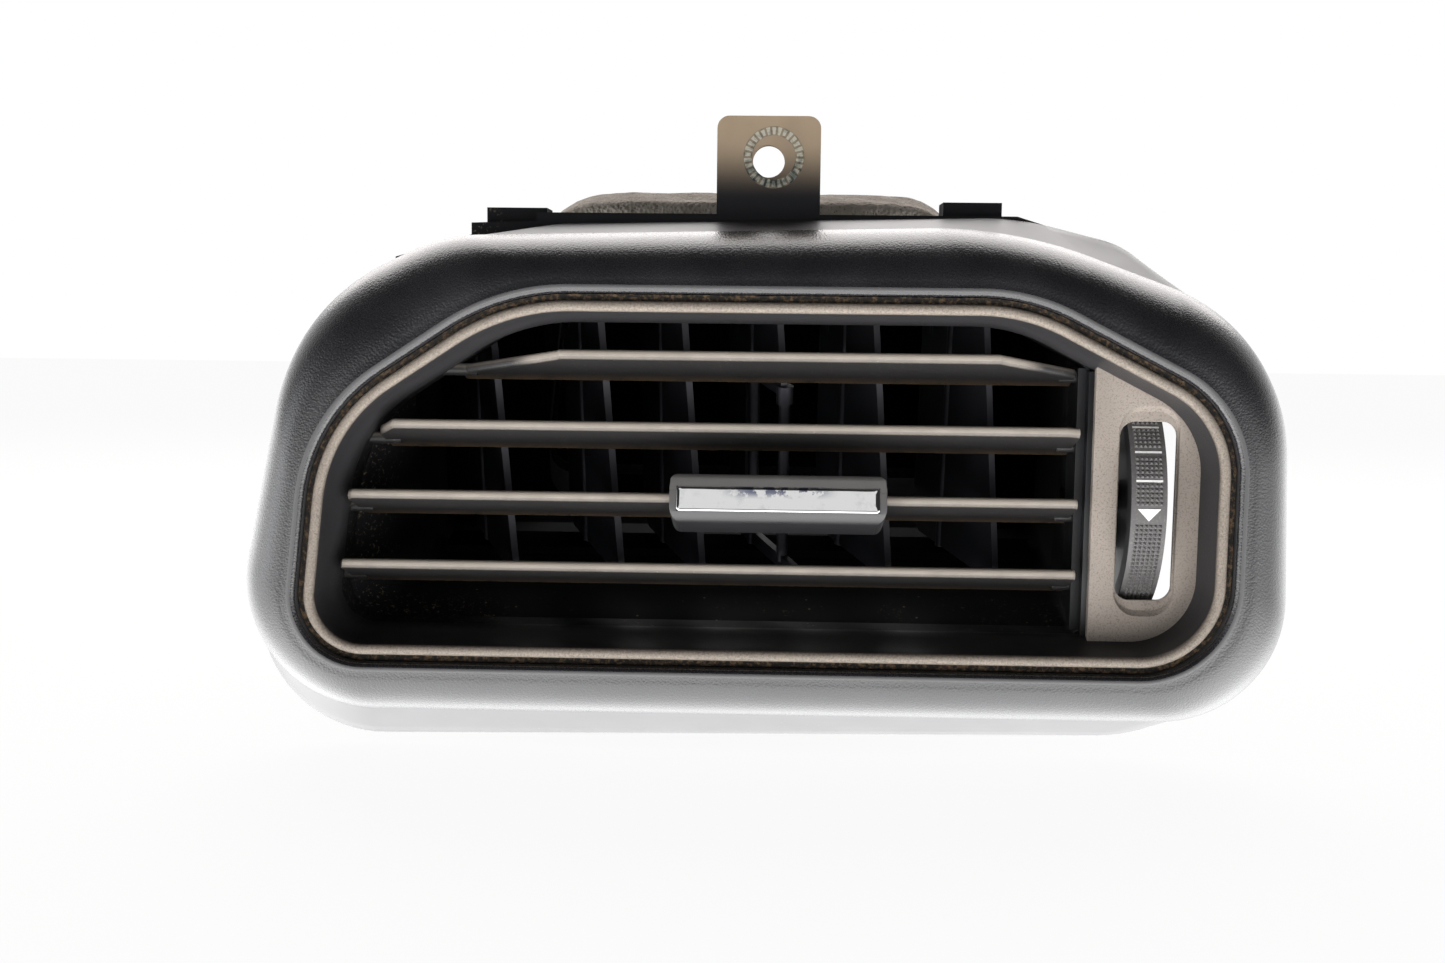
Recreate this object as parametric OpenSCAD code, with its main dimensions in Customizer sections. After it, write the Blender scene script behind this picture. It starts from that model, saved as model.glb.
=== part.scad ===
// Dashboard air vent: bezel, face frame with thumbwheel panel, four level vanes with a sliding knob,
// six upright rear vanes, a damper door and the duct. The view from the passenger looks along +Y.
// The origin is the middle of the bezel's seat on the dashboard, +X is the passenger's right, +Z is up.

/* [Face opening] */
// Height of the opening's top edge
opening_top = 37; // [33:0.5:40]
// Depth of the opening's bottom edge
opening_bottom = 37.6; // [34:0.2:41]
// Right edge of the opening
opening_right = 93; // [90:0.5:96]
// Left edge of the opening at the bottom corner
opening_left = 97.3; // [94:0.1:100]
// Lean of the left edge, from its foot to the left slope
left_lean = 5.5; // [3:0.5:8]
// Length of the top edge to the left of the middle
top_left = 53.3; // [49:0.1:57]
// Length of the top edge to the right of the middle
top_right = 51; // [47:0.5:55]
// Height at which the left slope ends
left_slope_z = 11.7; // [9:0.1:15]
// Height at which the right slope ends
right_slope_z = 15.5; // [13:0.5:18]

/* [Bezel] */
// Depth of the bezel from its roll edge to its seat
bezel_depth = 26; // [24:0.5:30]
// Depth of the rounded face, from the roll edge to the crest line
crest_depth = 13; // [11:0.5:15]
// Width of the band above the opening
top_band = 13.7; // [11:0.1:16]
// Width of the band below the opening
bottom_band = 12.8; // [10:0.1:16]
// Width of the band beside the opening, at the bottom corners
side_band = 15.7; // [13:0.1:18]
// Wall of the bezel
bezel_wall = 2.2; // [1.6:0.1:2.6]
// Rise of the skirt above the crest line at the top
skirt_top = 2.9; // [2:0.1:4]
// Flare of the skirt at the bottom left
skirt_bottom = 9.8; // [7:0.1:11]
// Length of a snap hook behind the seat
hook_reach = 5; // [4:0.5:7]

/* [Face frame] */
// Gap between the bezel and the face frame, as a dark groove
groove = 1.5; // [1:0.1:2]
// Width of the rounded lip
lip = 2.2; // [1.6:0.1:2.8]
// Depth of the lip behind the bezel's roll edge
lip_setback = 0.8; // [0.4:0.1:1.6]
// Slope inwards of the frame's inner band
band_slope = 2.1; // [1:0.1:3]
// Length of the face frame from front to back
frame_depth = 14; // [12:0.5:16]
// Wall of the face frame
frame_wall = 1.6; // [1.2:0.1:2]
// Left edge of the wheel panel
panel_x = 66.5; // [64:0.5:68]
// Depth of the wheel panel behind the bezel's roll edge
panel_setback = 10; // [8:0.5:11]
// Thickness of the wheel panel
panel_wall = 2; // [1.5:0.1:2.4]
// Width of the wheel slot
slot_w = 12.2; // [11:0.1:13]
// Length of the wheel slot
slot_l = 37; // [32:0.1:40]
// Length that the finger recess adds at each end of the slot
recess_end = 3.2; // [2:0.1:4]
// Depth of the finger recess
recess_depth = 1; // [0.6:0.1:1.3]

/* [Housing] */
// Wall of the housing and of the duct
wall = 1.8; // [1.4:0.1:2.2]
// Rise of the duct towards the back, in degrees
duct_rise = 15; // [10:1:18]
// Thickness of the seat flange and of the screw tab
flange_wall = 2.2; // [1.8:0.1:3]
// Width of the screw tab
tab_w = 22; // [18:0.5:28]
// Height of the screw tab's top edge
tab_top = 75.6; // [72:0.1:80]
// Height of the screw hole
tab_hole_z = 66.1; // [64:0.1:68]
// Diameter of the screw hole
tab_hole_d = 6.8; // [5:0.1:8]
// Thickness of the foam seal round the inlet
foam_wall = 9; // [6:0.5:12]
// Length of the foam seal
foam_length = 16; // [12:1:18]

/* [Level vanes] */
// Room between the bottom vane's axis and the floor of the air passage
foot_room = 9.995; // [9:0.005:11]
// Height of the top vane's axis
vane_top_z = 21.5; // [20.5:0.1:22]
// Depth of the level vanes' axis in front of the seat
vane_axis = 8.7; // [8:0.1:9.5]
// Length of a level vane in front of its axis
vane_front = 11; // [9:0.1:11.5]
// Length of a level vane behind its axis
vane_back = 5; // [4:0.1:5.5]
// Thickness of a level vane at its nose
vane_nose = 2.1; // [1.6:0.1:2.6]
// Thickness of a level vane at its back edge
vane_tail = 1.1; // [0.8:0.1:1.4]
// Tilt of the level vanes at rest, front edge up, in degrees
vane_tilt = 21; // [15:1:25]
// Radius of the vanes' pivot pins
pivot_r = 1.3; // [1.1:0.05:1.5]
// Length of the crank arms that the link bar joins
crank = 6; // [5:0.1:6.3]

/* [Upright vanes] */
// Depth of the upright vanes' axis, along the duct
rear_axis = 19; // [18:0.1:20]
// Length of an upright vane behind its axis
rear_back = 12; // [10:0.1:12.5]
// Thickness of an upright vane
rear_wall = 1.5; // [1.2:0.1:1.8]
// Yaw of the upright vanes at rest, fronts to the right, in degrees
rear_yaw = 25; // [15:1:28]
// Distance of the driving rod from its vane's axis
rod_reach = 16; // [15:0.1:17]
// Radius of the driving rod
rod_r = 1.25; // [1:0.05:1.4]

/* [Knob] */
// Width of the knob
knob_w = 43.8; // [38:0.2:48]
// Depth of the knob from front to back
knob_d = 12; // [10:0.1:13]
// Height of the knob above the vane's middle plane
knob_up = 3.8; // [3:0.1:4.5]
// Height of the knob below the vane's middle plane
knob_down = 4.4; // [3.4:0.1:5]
// Width of the chrome insert
chrome_w = 41; // [36:0.2:42]

/* [Thumbwheel and damper] */
// Depth of the thumbwheel's axle behind the seat
wheel_y = 5.5; // [4.5:0.1:6.1]
// Width of the thumbwheel's rim
wheel_w = 7.2; // [6:0.1:8]
// Height of the thumbwheel above the panel's face
wheel_proud = 4.5; // [3.5:0.1:5]
// Radius of the thumbwheel's axle
axle_r = 2; // [1.6:0.1:2.4]
// Half of the damper door's length
door_half = 28; // [26:0.1:28.4]
// Angle of the damper door from the duct's direction at rest, in degrees
door_angle = 38; // [30:1:45]
// Length of the damper's cranks
door_crank = 9; // [8:0.1:10]

/* [Hidden] */
$fn = 48;
// Gap between a running pin and its bore, and between a sliding piece and its guide
pin_gap = 0.05;
slide_gap = 0.12;
// Gap between pieces that pass each other
free_gap = 0.3;
// Number of straight steps in each rounded corner of an outline
steps = 8;
eps = 0.01;

// The opening, as corners with a radius each, anticlockwise from the bottom right
opening = split([[opening_right, -opening_bottom, 18],
                 [opening_right, right_slope_z, 22],
                 [top_right, opening_top, 40],
                 [-top_left, opening_top, 45],
                 [-opening_left + left_lean, left_slope_z, 35],
                 [-opening_left, -opening_bottom, 13]], 1);
// The crest line of the bezel, corner by corner outside the opening
crest = split([[opening_right + side_band, -opening_bottom - bottom_band, 25.4],
               [opening_right + side_band - 3.3, right_slope_z + top_band + 2.2, 38],
               [top_right - 2.1, opening_top + top_band + 1.2, 92],
               [-top_left - 14.4, opening_top + top_band - 1.5, 34],
               [-opening_left + left_lean - side_band + 8.9, left_slope_z + top_band + 9.2, 43],
               [-opening_left - side_band - 3.8, -opening_bottom - bottom_band - 0.2, 28]], 1);
// The back edge of the bezel's skirt, outside the crest line at the top and the bottom only
skirt = [[opening_right + side_band - 1, -opening_bottom - bottom_band - skirt_bottom + 3.3, 34],
         [opening_right + side_band - 5.7, right_slope_z + top_band - 1.2, 30],
         [top_right + 22, opening_top + top_band + skirt_top - 3.8, 18],
         [top_right + 1, opening_top + top_band + skirt_top + 1.2, 60],
         [-top_left + 3.4, opening_top + top_band + skirt_top - 0.9, 39],
         [-opening_left + left_lean - side_band + 12.5, left_slope_z + top_band + 6.6, 45],
         [-opening_left - side_band - 7.5, -opening_bottom - bottom_band - skirt_bottom - 0.2, 27]];

roll_y = -bezel_depth;
lip_inset = groove * 0.67;
band_inset = lip_inset + lip + band_slope;
frame_y = roll_y + lip_setback;
panel_y = roll_y + panel_setback;
frame_back = roll_y + frame_depth + 0.5;

// The air passage, as the opening narrowed to the frame's inner band and cut off beside the wheel panel
passage_right = panel_x - 0.5;
narrowed = inset(opening, band_inset);
passage = [[passage_right, narrowed[0][1], 2],
           [passage_right, height_on(narrowed[2], narrowed[3], passage_right), 4],
           narrowed[3], narrowed[4], narrowed[5], narrowed[6]];
// The same passage further back, where its roof has risen along the two slopes
roof_rise = 3.6;
raised = [passage[0], passage[1], up_along(passage[1], passage[2], roof_rise),
          up_along(passage[4], passage[3], roof_rise), passage[4], passage[5]];
// The duct behind it and the inlet, as corners across and up in the duct's own tilted frame
duct_floor = -27;
duct_roof = 36;
duct_left = -78;
duct_right = 64.2;
duct_side_z = 28;
barrel = [[duct_right, duct_floor, 3], [duct_right, duct_side_z, 3], [duct_right - 8, duct_roof, 3],
          [duct_left + 8, duct_roof, 3], [duct_left, duct_side_z, 3], [duct_left, duct_floor, 3]];
inlet_left = -55;
inlet_right = 44;
inlet_roof = 33.5;
inlet = [[inlet_right, duct_floor, 8], [inlet_right, 21.5, 8], [inlet_right - 11, inlet_roof, 8],
         [inlet_left + 11, inlet_roof, 8], [inlet_left, 21.5, 8], [inlet_left, duct_floor, 8]];
straight_y = -4;
barrel_start = 8;
// The barrel ends behind the sweep of the upright vanes, and the inlet holds the sweep of the door
barrel_end = rear_axis + rear_back + 3;
inlet_start = barrel_end + 14;
door_axis = barrel_end + door_half - 1;
duct_length = door_axis + door_half + 1;

// Level vanes, spread evenly from the top one's axis to the bottom one's
vane_y = -vane_axis;
last_vane = 3;
vane_pitch = (vane_top_z - passage[0][1] - foot_room) / last_vane;
strip_wall = 2.3;
strip_x = passage_right - strip_wall;
vane_right = strip_x - free_gap * 2;
crank_x = passage_right + 0.4;
crank_wall = 1.5;
link_x = crank_x + crank_wall + free_gap;
link_pin_r = 1;
// Left ends: clearance from the wall at the axis, how far the nose is cut back there, and where it starts
vane_gap = [2.6, 3.3, 1.6, 1.6];
vane_cut = [10, 4.6, 1, 0.8];
vane_full_left = [-43, -77, -85.5, -87.6];
vane_full_right = [46.5, 60.5, 62, 62];

// Upright vanes
rear_x = [-65.5, -42, -24, -3.5, 17, 40.5];
driven = 3;
rail_wall = 2;
rail_front = rear_axis - 4.5;
rail_back = rear_axis + 4.5;
rear_low = duct_floor + rail_wall + free_gap;
rear_high = duct_roof - rail_wall - free_gap;
// Front edge of the upright vanes: depth in the duct at its zero height, and lean of the edge
front_zero = 0;
front_lean = 0.184;
notch_floor = rear_high - 5.2;
link_reach = 8;
link_bar = 2;
cut_low = -21.5;
cut_high = 15.5;

// Knob, on the third level vane
knob_vane = 2;
knob_front = -vane_front - 5.5;
knob_back = knob_front + knob_d;
rod_x = rear_x[driven] + rod_reach * sin(rear_yaw);
knob_x = rod_x - 1.3;
chrome_low = -3;
chrome_high = 2.2;
chrome_sink = 1.1;

// Thumbwheel, damper
slot_x = 77.5;
slot_z = -5.8;
wheel_x = slot_x - 0.4;
wheel_z = -5;
wheel_r = wheel_y - panel_y + wheel_proud;
web_wall = 1.6;
web_x = wheel_x - 0.8;
boss_r = 4.2;
hub_r = 3.9;
rim_wall = 3.5;
rim_half = 100;
web_half = 118;
boss_end = wheel_x - wheel_w / 2 - 1.4;
hub_start = boss_end + free_gap;
hub_end = wheel_x + wheel_w / 2 + 0.3;
crank_pin_r = 1.5;
door_z = (inlet_roof + duct_floor) / 2;
shaft_r = 2.2;
// Ribs in the inlet that the shut door stops against, above in front of it and below behind it
door_shut = door_angle + 38;
stop_wall = 2;
stop_high = 5.5;
seal_lip = 1.4;
seal_half = 1.5;
stop_reach = ((inlet_roof - duct_floor) / 2 - stop_high) / tan(door_shut) - seal_half / sin(door_shut) - free_gap;
function stop_y(t) = door_axis + t * stop_reach - (t > 0 ? stop_wall : 0);
door_crank_x = inlet_right + wall + 2.6;
rod_wall = 1.6;

trim = [0.17, 0.17, 0.18];
frame_brown = [0.33, 0.30, 0.28];
black = [0.06, 0.06, 0.065];
foam = [0.32, 0.31, 0.29];
chrome = [0.8, 0.81, 0.83];

function unit(v) = v / norm(v);
function left_of(v) = [-v[1], v[0]];
function corner(c, i) = let (k = (i + len(c)) % len(c)) [c[k][0], c[k][1]];
function side(c, i) = unit(corner(c, i + 1) - corner(c, i));
function mitre(c, i) = let (a = left_of(side(c, i - 1)), b = left_of(side(c, i))) (a + b) / (1 + a * b);
function up_along(p, q, rise) = let (d = q - p) [q[0] + d[0] / d[1] * rise, q[1] + rise, q[2]];
function height_on(p, q, x) = p[1] + (q[1] - p[1]) * (x - p[0]) / (q[0] - p[0]);

// Corner k as two corners on the same arc, so that every outline has seven
function split(c, k) = let (m = mitre(c, k), r = c[k][2], turn = acos(side(c, k - 1) * side(c, k)),
    middle = corner(c, k) + m * r - unit(m) * r, along = -left_of(unit(m)) * r * tan(turn / 4))
    [for (i = [0:len(c) - 1]) each i == k
        ? [[middle[0] - along[0], middle[1] - along[1], r], [middle[0] + along[0], middle[1] + along[1], r]]
        : [c[i]]];

// Corners moved inwards by d, with their radii
function inset(c, d) = [for (i = [0:len(c) - 1])
    let (m = mitre(c, i)) [c[i][0] + m[0] * d, c[i][1] + m[1] * d, max(c[i][2] - d, 0.4)]];

// Points of the rounded corner i, then of the whole outline
function arc(c, i) = let (u = side(c, i - 1), n = left_of(u), turn = acos(u * side(c, i)), r = c[i][2],
    centre = corner(c, i) + mitre(c, i) * r)
    [for (k = [0:steps]) centre + r * (u * sin(turn * k / steps) - n * cos(turn * k / steps))];
function outline(c) = [for (i = [0:len(c) - 1]) each arc(c, i)];

// A ring at depth y, a ring between two rings, and a ring across the tilted duct
function ring(c, y) = [for (p = outline(c)) [p[0], y, p[1]]];
function between(a, b, t, y) = [for (i = [0:len(a) - 1])
    [a[i][0] + (b[i][0] - a[i][0]) * t, y, a[i][2] + (b[i][2] - a[i][2]) * t]];
function in_duct(p) = [p[0], p[1] * cos(duct_rise) - p[2] * sin(duct_rise),
                       p[1] * sin(duct_rise) + p[2] * cos(duct_rise)];
function duct_ring(c, y) = [for (p = outline(c)) in_duct([p[0], y, p[1]])];

// Where an outline crosses the height z, on its left side
function left_at(c, z) = let (p = outline(c), n = len(p), hits = [for (i = [0:n - 1])
    let (a = p[i], b = p[(i + 1) % n])
    if (a[0] < 0 && b[0] < 0 && a[1] > z && b[1] <= z) a[0] + (b[0] - a[0]) * (z - a[1]) / (b[1] - a[1])]) hits[0];

// Skin through rings of equal length: a closed loop of rings, or a body with two end caps
module skin(rings, capped = false) {
    n = len(rings[0]);
    m = len(rings);
    last = capped ? m - 2 : m - 1;
    quads = [for (i = [0:last], j = [0:n - 1])
        let (a = i * n + j, b = i * n + (j + 1) % n, k = (i + 1) % m, c = k * n + (j + 1) % n, d = k * n + j)
        each [[a, b, c], [a, c, d]]];
    caps = capped ? [[for (j = [0:n - 1]) n - 1 - j], [for (j = [0:n - 1]) (m - 1) * n + j]] : [];
    polyhedron([for (r = rings) each r], concat(quads, caps), convexity = 10);
}

// A flat shape stood up and given depth along Y, or given width along X
module slab(y0, y1) {
    translate([0, y1, 0]) rotate([90, 0, 0]) linear_extrude(y1 - y0) children();
}
module across(x0, x1) {
    translate([x0, 0, 0]) rotate([90, 0, 90]) linear_extrude(x1 - x0) children();
}
module rod_x_way(x0, x1, r) {
    translate([x0, 0, 0]) rotate([0, 90, 0]) cylinder(h = x1 - x0, r = r);
}
module block(low, high) {
    translate(low) cube(high - low);
}
module in_duct_frame() {
    rotate([duct_rise, 0, 0]) children();
}
// A bar with round ends from one pin to the next, in the plane of y and z
module bar_shape(length, half) {
    polygon(outline([[length + half, -half, half * 0.98], [length + half, half, half * 0.98],
                     [-half, half, half * 0.98], [-half, -half, half * 0.98]]));
}

module bezel() {
    inner = ring(inset(opening, -2.6), 0);
    outer = ring(crest, 0);
    face_steps = 7;
    face_turn = 76;
    face = [for (k = [1:face_steps - 1]) let (a = face_turn * k / face_steps)
        between(inner, outer, sin(a) / sin(face_turn),
                roll_y + 0.2 + (crest_depth - 0.2) * (1 - cos(a)) / (1 - cos(face_turn)))];
    rings = concat(
        [ring(inset(opening, -groove / 3), roll_y + 9), ring(inset(opening, -groove / 3), roll_y + 1),
         ring(inset(opening, -0.9), roll_y + 0.25), ring(inset(opening, -1.7), roll_y),
         ring(inset(opening, -2.6), roll_y + 0.2)],
        face,
        [ring(crest, roll_y + crest_depth), ring(inset(crest, 0.4), roll_y + crest_depth + 0.4), ring(skirt, 0),
         ring(inset(skirt, bezel_wall), 0), ring(inset(crest, bezel_wall + 0.4), roll_y + crest_depth + 1.5),
         between(inner, outer, 0.55, roll_y + 2.6 + bezel_wall),
         ring(inset(opening, -2.9), roll_y + 0.6 + bezel_wall),
         ring(inset(opening, -groove / 3 - bezel_wall), roll_y + 9)]);
    color(trim) union() {
        skin(rings);
        for (h = hooks) snap_hook(h);
    }
}

// Snap hooks: place across and up, and the side on which the catch stands
hook_in = 6.6;
hooks = [[-32, opening_top + hook_in, 1], [32, opening_top + hook_in, 1],
         [-60, -opening_bottom - hook_in, -1], [0, -opening_bottom - hook_in, -1], [60, -opening_bottom - hook_in, -1]];
hook_w = 8;
hook_wall = 1.8;
catch = 1;
module snap_hook(h) {
    translate([h[0], 0, h[1]]) mirror([0, 0, h[2] < 0 ? 1 : 0])
        across(-hook_w / 2, hook_w / 2)
            polygon([[roll_y + 4, 0], [hook_reach, 0], [hook_reach, hook_wall], [flange_wall + 1.3, hook_wall + catch],
                     [flange_wall + 0.1, hook_wall + catch], [flange_wall + 0.1, hook_wall], [roll_y + 4, hook_wall]]);
}
module hook_window(h) {
    translate([h[0], 0, h[1]]) mirror([0, 0, h[2] < 0 ? 1 : 0])
        block([-hook_w / 2 - 0.5, -1, -0.5], [hook_w / 2 + 0.5, flange_wall + 1, hook_wall + 0.4]);
}

module face_frame() {
    rear = band_inset - frame_wall;
    rings = [ring(inset(opening, band_inset), frame_back),
             ring(inset(opening, band_inset), frame_y + 11),
             ring(inset(opening, lip_inset + lip), frame_y + 1),
             ring(inset(opening, lip_inset + lip - 0.3), frame_y + 0.3),
             ring(inset(opening, lip_inset + lip / 2), frame_y),
             ring(inset(opening, lip_inset + 0.3), frame_y + 0.3),
             ring(inset(opening, lip_inset), frame_y + 1),
             ring(inset(opening, lip_inset), frame_back),
             ring(inset(opening, lip_inset + frame_wall), frame_back),
             ring(inset(opening, lip_inset + frame_wall + 0.1), frame_y + 3),
             ring(inset(opening, rear), frame_back)];
    color(frame_brown) difference() {
        union() {
            skin(rings);
            intersection() {
                slab(panel_y, panel_y + panel_wall) polygon(outline(inset(opening, band_inset - frame_wall / 2)));
                block([panel_x, panel_y - 1, -opening_bottom], [opening_right, panel_y + panel_wall + 1, opening_top]);
            }
            intersection() {
                slab(panel_y, frame_back) polygon(outline(inset(opening, band_inset - frame_wall / 2)));
                block([panel_x, panel_y, -opening_bottom], [panel_x + frame_wall, frame_back + 1, opening_top]);
            }
        }
        translate([slot_x, 0, slot_z]) {
            slab(panel_y - 1, panel_y + panel_wall + 1) rounded(slot_w, slot_l, 3);
            slab(panel_y - 1, panel_y + recess_depth) rounded(slot_w + 0.6, slot_l + 2 * recess_end, 5);
        }
    }
}
module rounded(w, l, r) {
    polygon(outline([[w / 2, -l / 2, r], [w / 2, l / 2, r], [-w / 2, l / 2, r], [-w / 2, -l / 2, r]]));
}

// The barrel of the housing as one solid, grown outwards by d and longer at both ends by more
module barrel_body(d, more) {
    skin([ring(inset(passage, -d), frame_back - more), ring(inset(raised, -d), straight_y),
          duct_ring(inset(barrel, -d), barrel_start), duct_ring(inset(barrel, -d), barrel_end + more)], true);
}

// Window in the flange beside the barrel, for the thumbwheel and the link bar
window_left = passage_right + wall + 0.4;
window_right = 91;
module flange_shape() {
    difference() {
        union() {
            polygon(outline(inset(skirt, 1)));
            polygon([[-81, 30], [70.5, 30], [70.5, 49.3], [52, skirt_top_z + 1.4], [-50.5, skirt_top_z + 1.4],
                     [-50.5, skirt_top_z - 0.4], [-64.5, skirt_top_z - 0.9], [-64.5, skirt_top_z - 3.4],
                     [-81, skirt_top_z - 8.3]]);
        }
        polygon([[window_left, -35], [84.6, -35], [window_right, -30.5], [window_right, 15], [84, 16.5], [82.5, 22.5],
                 [window_left, 22.5]]);
    }
}
skirt_top_z = opening_top + top_band + skirt_top;
tab_x = -0.9;
tab_corner = 2.6;
module vane_housing() {
    color(black) difference() {
        union() {
            barrel_body(wall, 0);
            slab(0, flange_wall) flange_shape();
            translate([tab_x, 0, 0]) slab(0, flange_wall)
                polygon(outline([[tab_w / 2, skirt_top_z - 6, 0.5], [tab_w / 2, tab_top, tab_corner],
                                 [-tab_w / 2, tab_top, tab_corner], [-tab_w / 2, skirt_top_z - 6, 0.5]]));
            for (s = [-1, 1]) translate([tab_x + s * (tab_w / 2 - 1), 0, 0])
                across(-0.8, 0.8) polygon([[flange_wall - eps, skirt_top_z - 5], [flange_wall + 6, skirt_top_z - 5],
                                           [flange_wall - eps, skirt_top_z + 12]]);
            for (c = clips) clip_block(c);
            translate([0, wheel_y, wheel_z]) rod_x_way(duct_right - 1, boss_end, boss_r);
            slab_ring();
        }
        barrel_body(0, 1);
        translate([tab_x, -1, tab_hole_z]) rotate([-90, 0, 0]) cylinder(h = flange_wall + 2, d = tab_hole_d);
        for (h = hooks) hook_window(h);
        for (i = [0:last_vane]) translate([0, vane_y, vane_z(i)])
            rod_x_way(vane_left(i) - 9, vane_left(i) - 0.2, pivot_r + pin_gap);
        block([passage_right - 1, frame_back - 1, -27.8], [passage_right + wall + 1, -free_gap, passage[1][1] - 0.5]);
        block([passage_right + 0.1, frame_back - 1, 0], [passage_right + wall + 2, -free_gap, passage[1][1] + 3.5]);
        translate([0, wheel_y, wheel_z]) rod_x_way(duct_right - 2, boss_end + 1, axle_r);
    }
}
// Clip blocks on the flange: left edge, right edge and top
clips = [[-61.5, -48.5, skirt_top_z + 2.5], [36.5, 49, skirt_top_z + 4.4]];
module clip_block(c) {
    difference() {
        block([c[0], flange_wall - eps, skirt_top_z - 8], [c[1], flange_wall + 8, c[2]]);
        block([c[0] + 2, flange_wall + 2, skirt_top_z - 9], [c[1] - 2, flange_wall + 6, c[2] - 2]);
    }
}
// Welding rim at the end of the barrel
module slab_ring() {
    in_duct_frame() slab(barrel_end - 2, barrel_end) polygon(outline(inset(barrel, -wall - 2.6)));
}

module tube_shape(c, from, to) {
    difference() {
        polygon(outline(inset(c, -to)));
        polygon(outline(inset(c, -from)));
    }
}
module duct_body() {
    skin([duct_ring(inset(barrel, -wall), barrel_end), duct_ring(inset(inlet, -wall), inlet_start),
          duct_ring(inset(inlet, -wall), duct_length), duct_ring(inlet, duct_length),
          duct_ring(inlet, inlet_start), duct_ring(barrel, barrel_end)]);
}
module on_door_axis() {
    in_duct_frame() translate([0, door_axis, door_z]) children();
}
module rear_duct() {
    color(black) difference() {
        union() {
            duct_body();
            in_duct_frame() slab(barrel_end + 0.2, barrel_end + 2.2) tube_shape(barrel, 0.3, wall + 2.6);
            on_door_axis() rod_x_way(inlet_left - wall - 2, inlet_left - 0.6, shaft_r + 2.6);
            on_door_axis() rod_x_way(inlet_right + 0.6, inlet_right + wall + 2, shaft_r + 2.6);
            for (t = [[-1, duct_floor], [1, inlet_roof]]) in_duct_frame()
                block([inlet_left + 14, stop_y(t[0]), t[1] - (t[0] > 0 ? stop_high : 0.5)],
                      [inlet_right - 14, stop_y(t[0]) + stop_wall, t[1] + (t[0] > 0 ? 0.5 : stop_high)]);
        }
        on_door_axis() rod_x_way(inlet_left - wall - 3, inlet_left + 5, shaft_r + pin_gap);
        on_door_axis() rod_x_way(inlet_right - 5, inlet_right + wall + 3, shaft_r + pin_gap);
    }
}

module foam_seal() {
    color(foam) in_duct_frame() slab(duct_length + 2 - foam_length, duct_length + 2) difference() {
        polygon(outline(inset(inlet, -wall - foam_wall)));
        polygon(outline(inset(inlet, -wall)));
    }
}

function vane_z(i) = vane_top_z - i * vane_pitch;
function vane_left(i) = left_at(passage, vane_z(i)) + vane_gap[i];

// Strip that carries the right pivots of the level vanes, with snap slots open to the back
module pivot_strip() {
    low = passage[0][1] + 0.8;
    high = passage[1][1];
    color(black) difference() {
        intersection() {
            across(strip_x, passage_right)
                polygon([[frame_back + 0.2, low], [-2, low + 5], [-2, high - 3], [-4, high], [frame_back + 0.2, high]]);
            slab(frame_back, 0) polygon(outline(inset(passage, pin_gap)));
        }
        for (i = [0:last_vane]) translate([0, vane_y, vane_z(i)]) {
            rod_x_way(strip_x - 1, passage_right + 1, pivot_r + pin_gap);
            block([strip_x - 1, 0, -pivot_r * 0.75], [passage_right + 1, vane_axis, pivot_r * 0.75]);
        }
    }
}

module rail(z0, z1, x0, x1) {
    color(black) in_duct_frame() difference() {
        block([x0, rail_front, z0], [x1, rail_back, z1]);
        for (x = rear_x) translate([x, rear_axis, z0 - 1]) cylinder(h = z1 - z0 + 2, r = pivot_r + pin_gap);
    }
}
module rear_rail_top() {
    rail(duct_roof - rail_wall, duct_roof, duct_left + 9.5, duct_right - 9.5);
}
module rear_rail_bottom() {
    rail(duct_floor, duct_floor + rail_wall, duct_left + 3, duct_right - 3);
}

// Section of a level vane, from the underside round the nose to the top and the back edge
function vane_section(x, cut) = let (a = vane_nose / 2, b = vane_tail / 2, n = 10)
    concat([for (k = [0:n]) let (t = -90 + 180 * k / n) [x, -vane_front + cut + a - a * cos(t), a * sin(t)]],
           [for (k = [0:n]) let (t = 90 - 180 * k / n) [x, vane_back - b + b * cos(t), b * sin(t)]]);

module level_vane(i) {
    left = vane_left(i);
    reach = vane_gap[i] + 3.4 + (i == 0 ? 1.6 : 0);
    color(black) translate([0, vane_y, vane_z(i)]) rotate([-vane_tilt, 0, 0]) difference() {
        union() {
            skin([vane_section(left, vane_cut[i]), vane_section(vane_full_left[i] - 0.6, vane_cut[i] * 0.06),
                  vane_section(vane_full_left[i], 0), vane_section(vane_full_right[i], 0),
                  vane_section(vane_full_right[i] + 0.6, i == 0 ? 0.35 : 0.1),
                  vane_section(vane_right, i == 0 ? 8.5 : 0.6)], true);
            rod_x_way(left - reach, left + 3, pivot_r);
            rod_x_way(vane_right - 3, crank_x + crank_wall, pivot_r);
            across(crank_x, crank_x + crank_wall) bar_shape(crank, 1.9);
            translate([0, crank, 0]) rod_x_way(crank_x + 0.2, link_x + crank_wall + 0.6, link_pin_r);
        }
    }
}
module vane_top() {
    level_vane(0);
}
module vane_upper() {
    level_vane(1);
}
module vane_knob() {
    level_vane(2);
}
module vane_bottom() {
    level_vane(3);
}

// Link bar of the level vanes, on their crank pins
module vane_link() {
    foot = [0, vane_y + crank * cos(vane_tilt), vane_z(last_vane) - crank * sin(vane_tilt)];
    color(black) translate(foot) difference() {
        across(link_x, link_x + crank_wall) rotate(90) bar_shape(last_vane * vane_pitch, 1.8);
        for (i = [0:last_vane]) translate([0, 0, i * vane_pitch]) rod_x_way(link_x - 1, link_x + crank_wall + 1, link_pin_r + pin_gap);
    }
}

// Depth of the front edge of an upright vane at height z in the duct
function front_at(z) = front_zero + front_lean * z - rear_axis;

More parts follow.
